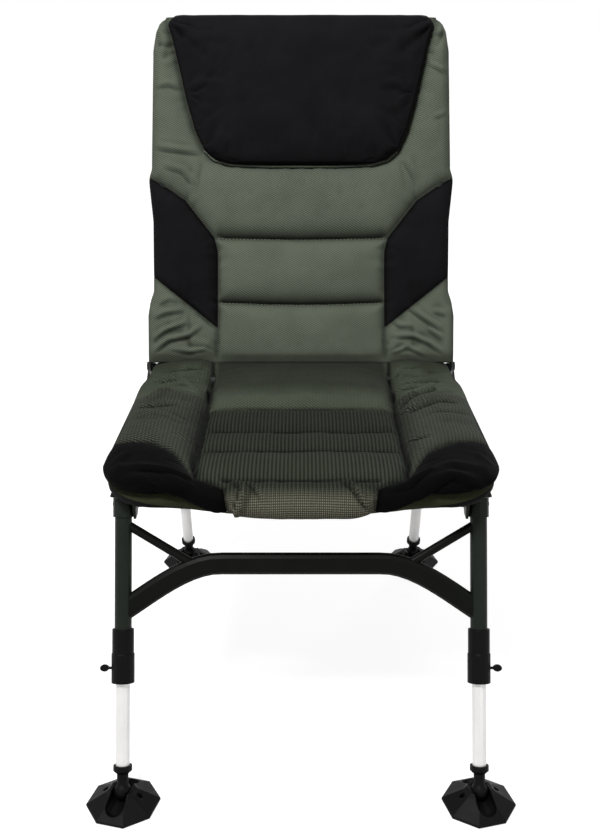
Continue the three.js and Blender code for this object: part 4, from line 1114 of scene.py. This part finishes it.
def rope(name, centres, radii, material, ring=10, attributes=None):
    """A closed tube through centres, in metres, with its own radius at each."""
    way = np.gradient(centres, axis=0)
    way /= np.linalg.norm(way, axis=1, keepdims=True)
    side = np.cross(way, (0, 0, 1))
    side /= np.linalg.norm(side, axis=1, keepdims=True)
    up = np.cross(side, way)
    angle = (np.arange(ring) * math.tau / ring)[:, None]
    radii = np.broadcast_to(radii, (len(centres),))[:, None, None]
    points = centres[:, None] + radii * (np.cos(angle) * side[:, None] + np.sin(angle) * up[:, None])
    faces = flipped(grid_faces(len(centres), ring, True)) + caps(len(centres), ring)
    uv = pairs(run_of(centres)[:, None], radii[:, 0] * angle.T)
    return make_mesh(name, points, faces, material, uv, {k: v(points) for k, v in (attributes or {}).items()})


piping_line = [(x, r - 3.5) for x, r in HEADREST_RING if r < 400]
piping_x, piping_r = points_along(piping_line, np.arange(0, run_of(piping_line)[-1], 5)).T
piping = rope("headrest_piping", on_back(piping_x, piping_r, 15.5), 0.0019, OLIVE_CLOTH)
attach(piping, "back")


def front_bar_path():
    """The centre of the bent front tube, from one rail to the middle."""
    half = [(CORNER_X + BEND, y) for y in np.arange(70, 10, -5.0)]
    half += [(CORNER_X + BEND * math.cos(a), CORNER_Y - BEND * math.sin(a)) for a in np.linspace(0, math.pi / 2, 14)]
    half += [(x, CORNER_Y - BEND - BOW * dip_share(x)) for x in (*np.arange(186, -1, -7.5), 0)]
    return [(x, y, BAR_Z - DIP * dip_share(x)) for x, y in half]


def hem():
    half = front_bar_path()
    x, y, z = np.array(half + [(-x, y, z) for x, y, z in half[-2::-1]]).T
    uneven = 0.6 * soft_noise(np.arange(len(x)) / 3.0, np.zeros(len(x)), 141)
    full = 13.4 + 2.0 * ease(60, 100, np.abs(x))

    # The hem is near black below the line HEM_EDGE.
    def lower_band(points):
        level = np.interp(np.abs(points[..., 0]) * 1000, *zip(*HEM_EDGE))
        return level - (points[..., 2] * 1000 - LIFT)

    return rope("seat_front_hem", place(x, y, z + 0.2), (full + uneven) / 1000, HEM_CLOTH, 20, {"lower_band": lower_band})


front_hem = hem()
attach(front_hem, "seat")


# ---------- sling
SLING_HALF, SLING_REAR, SLING_Z, SLING_SAG = 234.5, 394.0, 430.6, 1.6


def sling():
    """The cloth base between the rails, a sheet with a thickness."""
    rows, count = 60, 50
    points, uv = [], []
    for x in SLING_HALF * np.linspace(-1, 1, rows):
        y = np.linspace(corner_edge(x, BEND - 13.5), SLING_REAR, count)
        share = np.clip((y - y[0]) / (SLING_REAR - y[0]), 0, 1)
        sag = SLING_SAG * (1 - (x / SLING_HALF) ** 2) * np.sin(share * math.pi)
        points.append(place(x, y, SLING_Z - sag))
        uv.append(pairs(x, y) / 1000)
    cloth = make_mesh("seat_sling_cloth", np.array(points), grid_faces(rows, count), OLIVE_CLOTH, uv, closed=False)
    solid = cloth.modifiers.new("cloth", "SOLIDIFY")
    solid.thickness = 0.0016
    solid.offset = -1
    return cloth


sling_cloth = sling()
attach(sling_cloth, "seat")
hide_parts("seat_sling")

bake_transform(back)
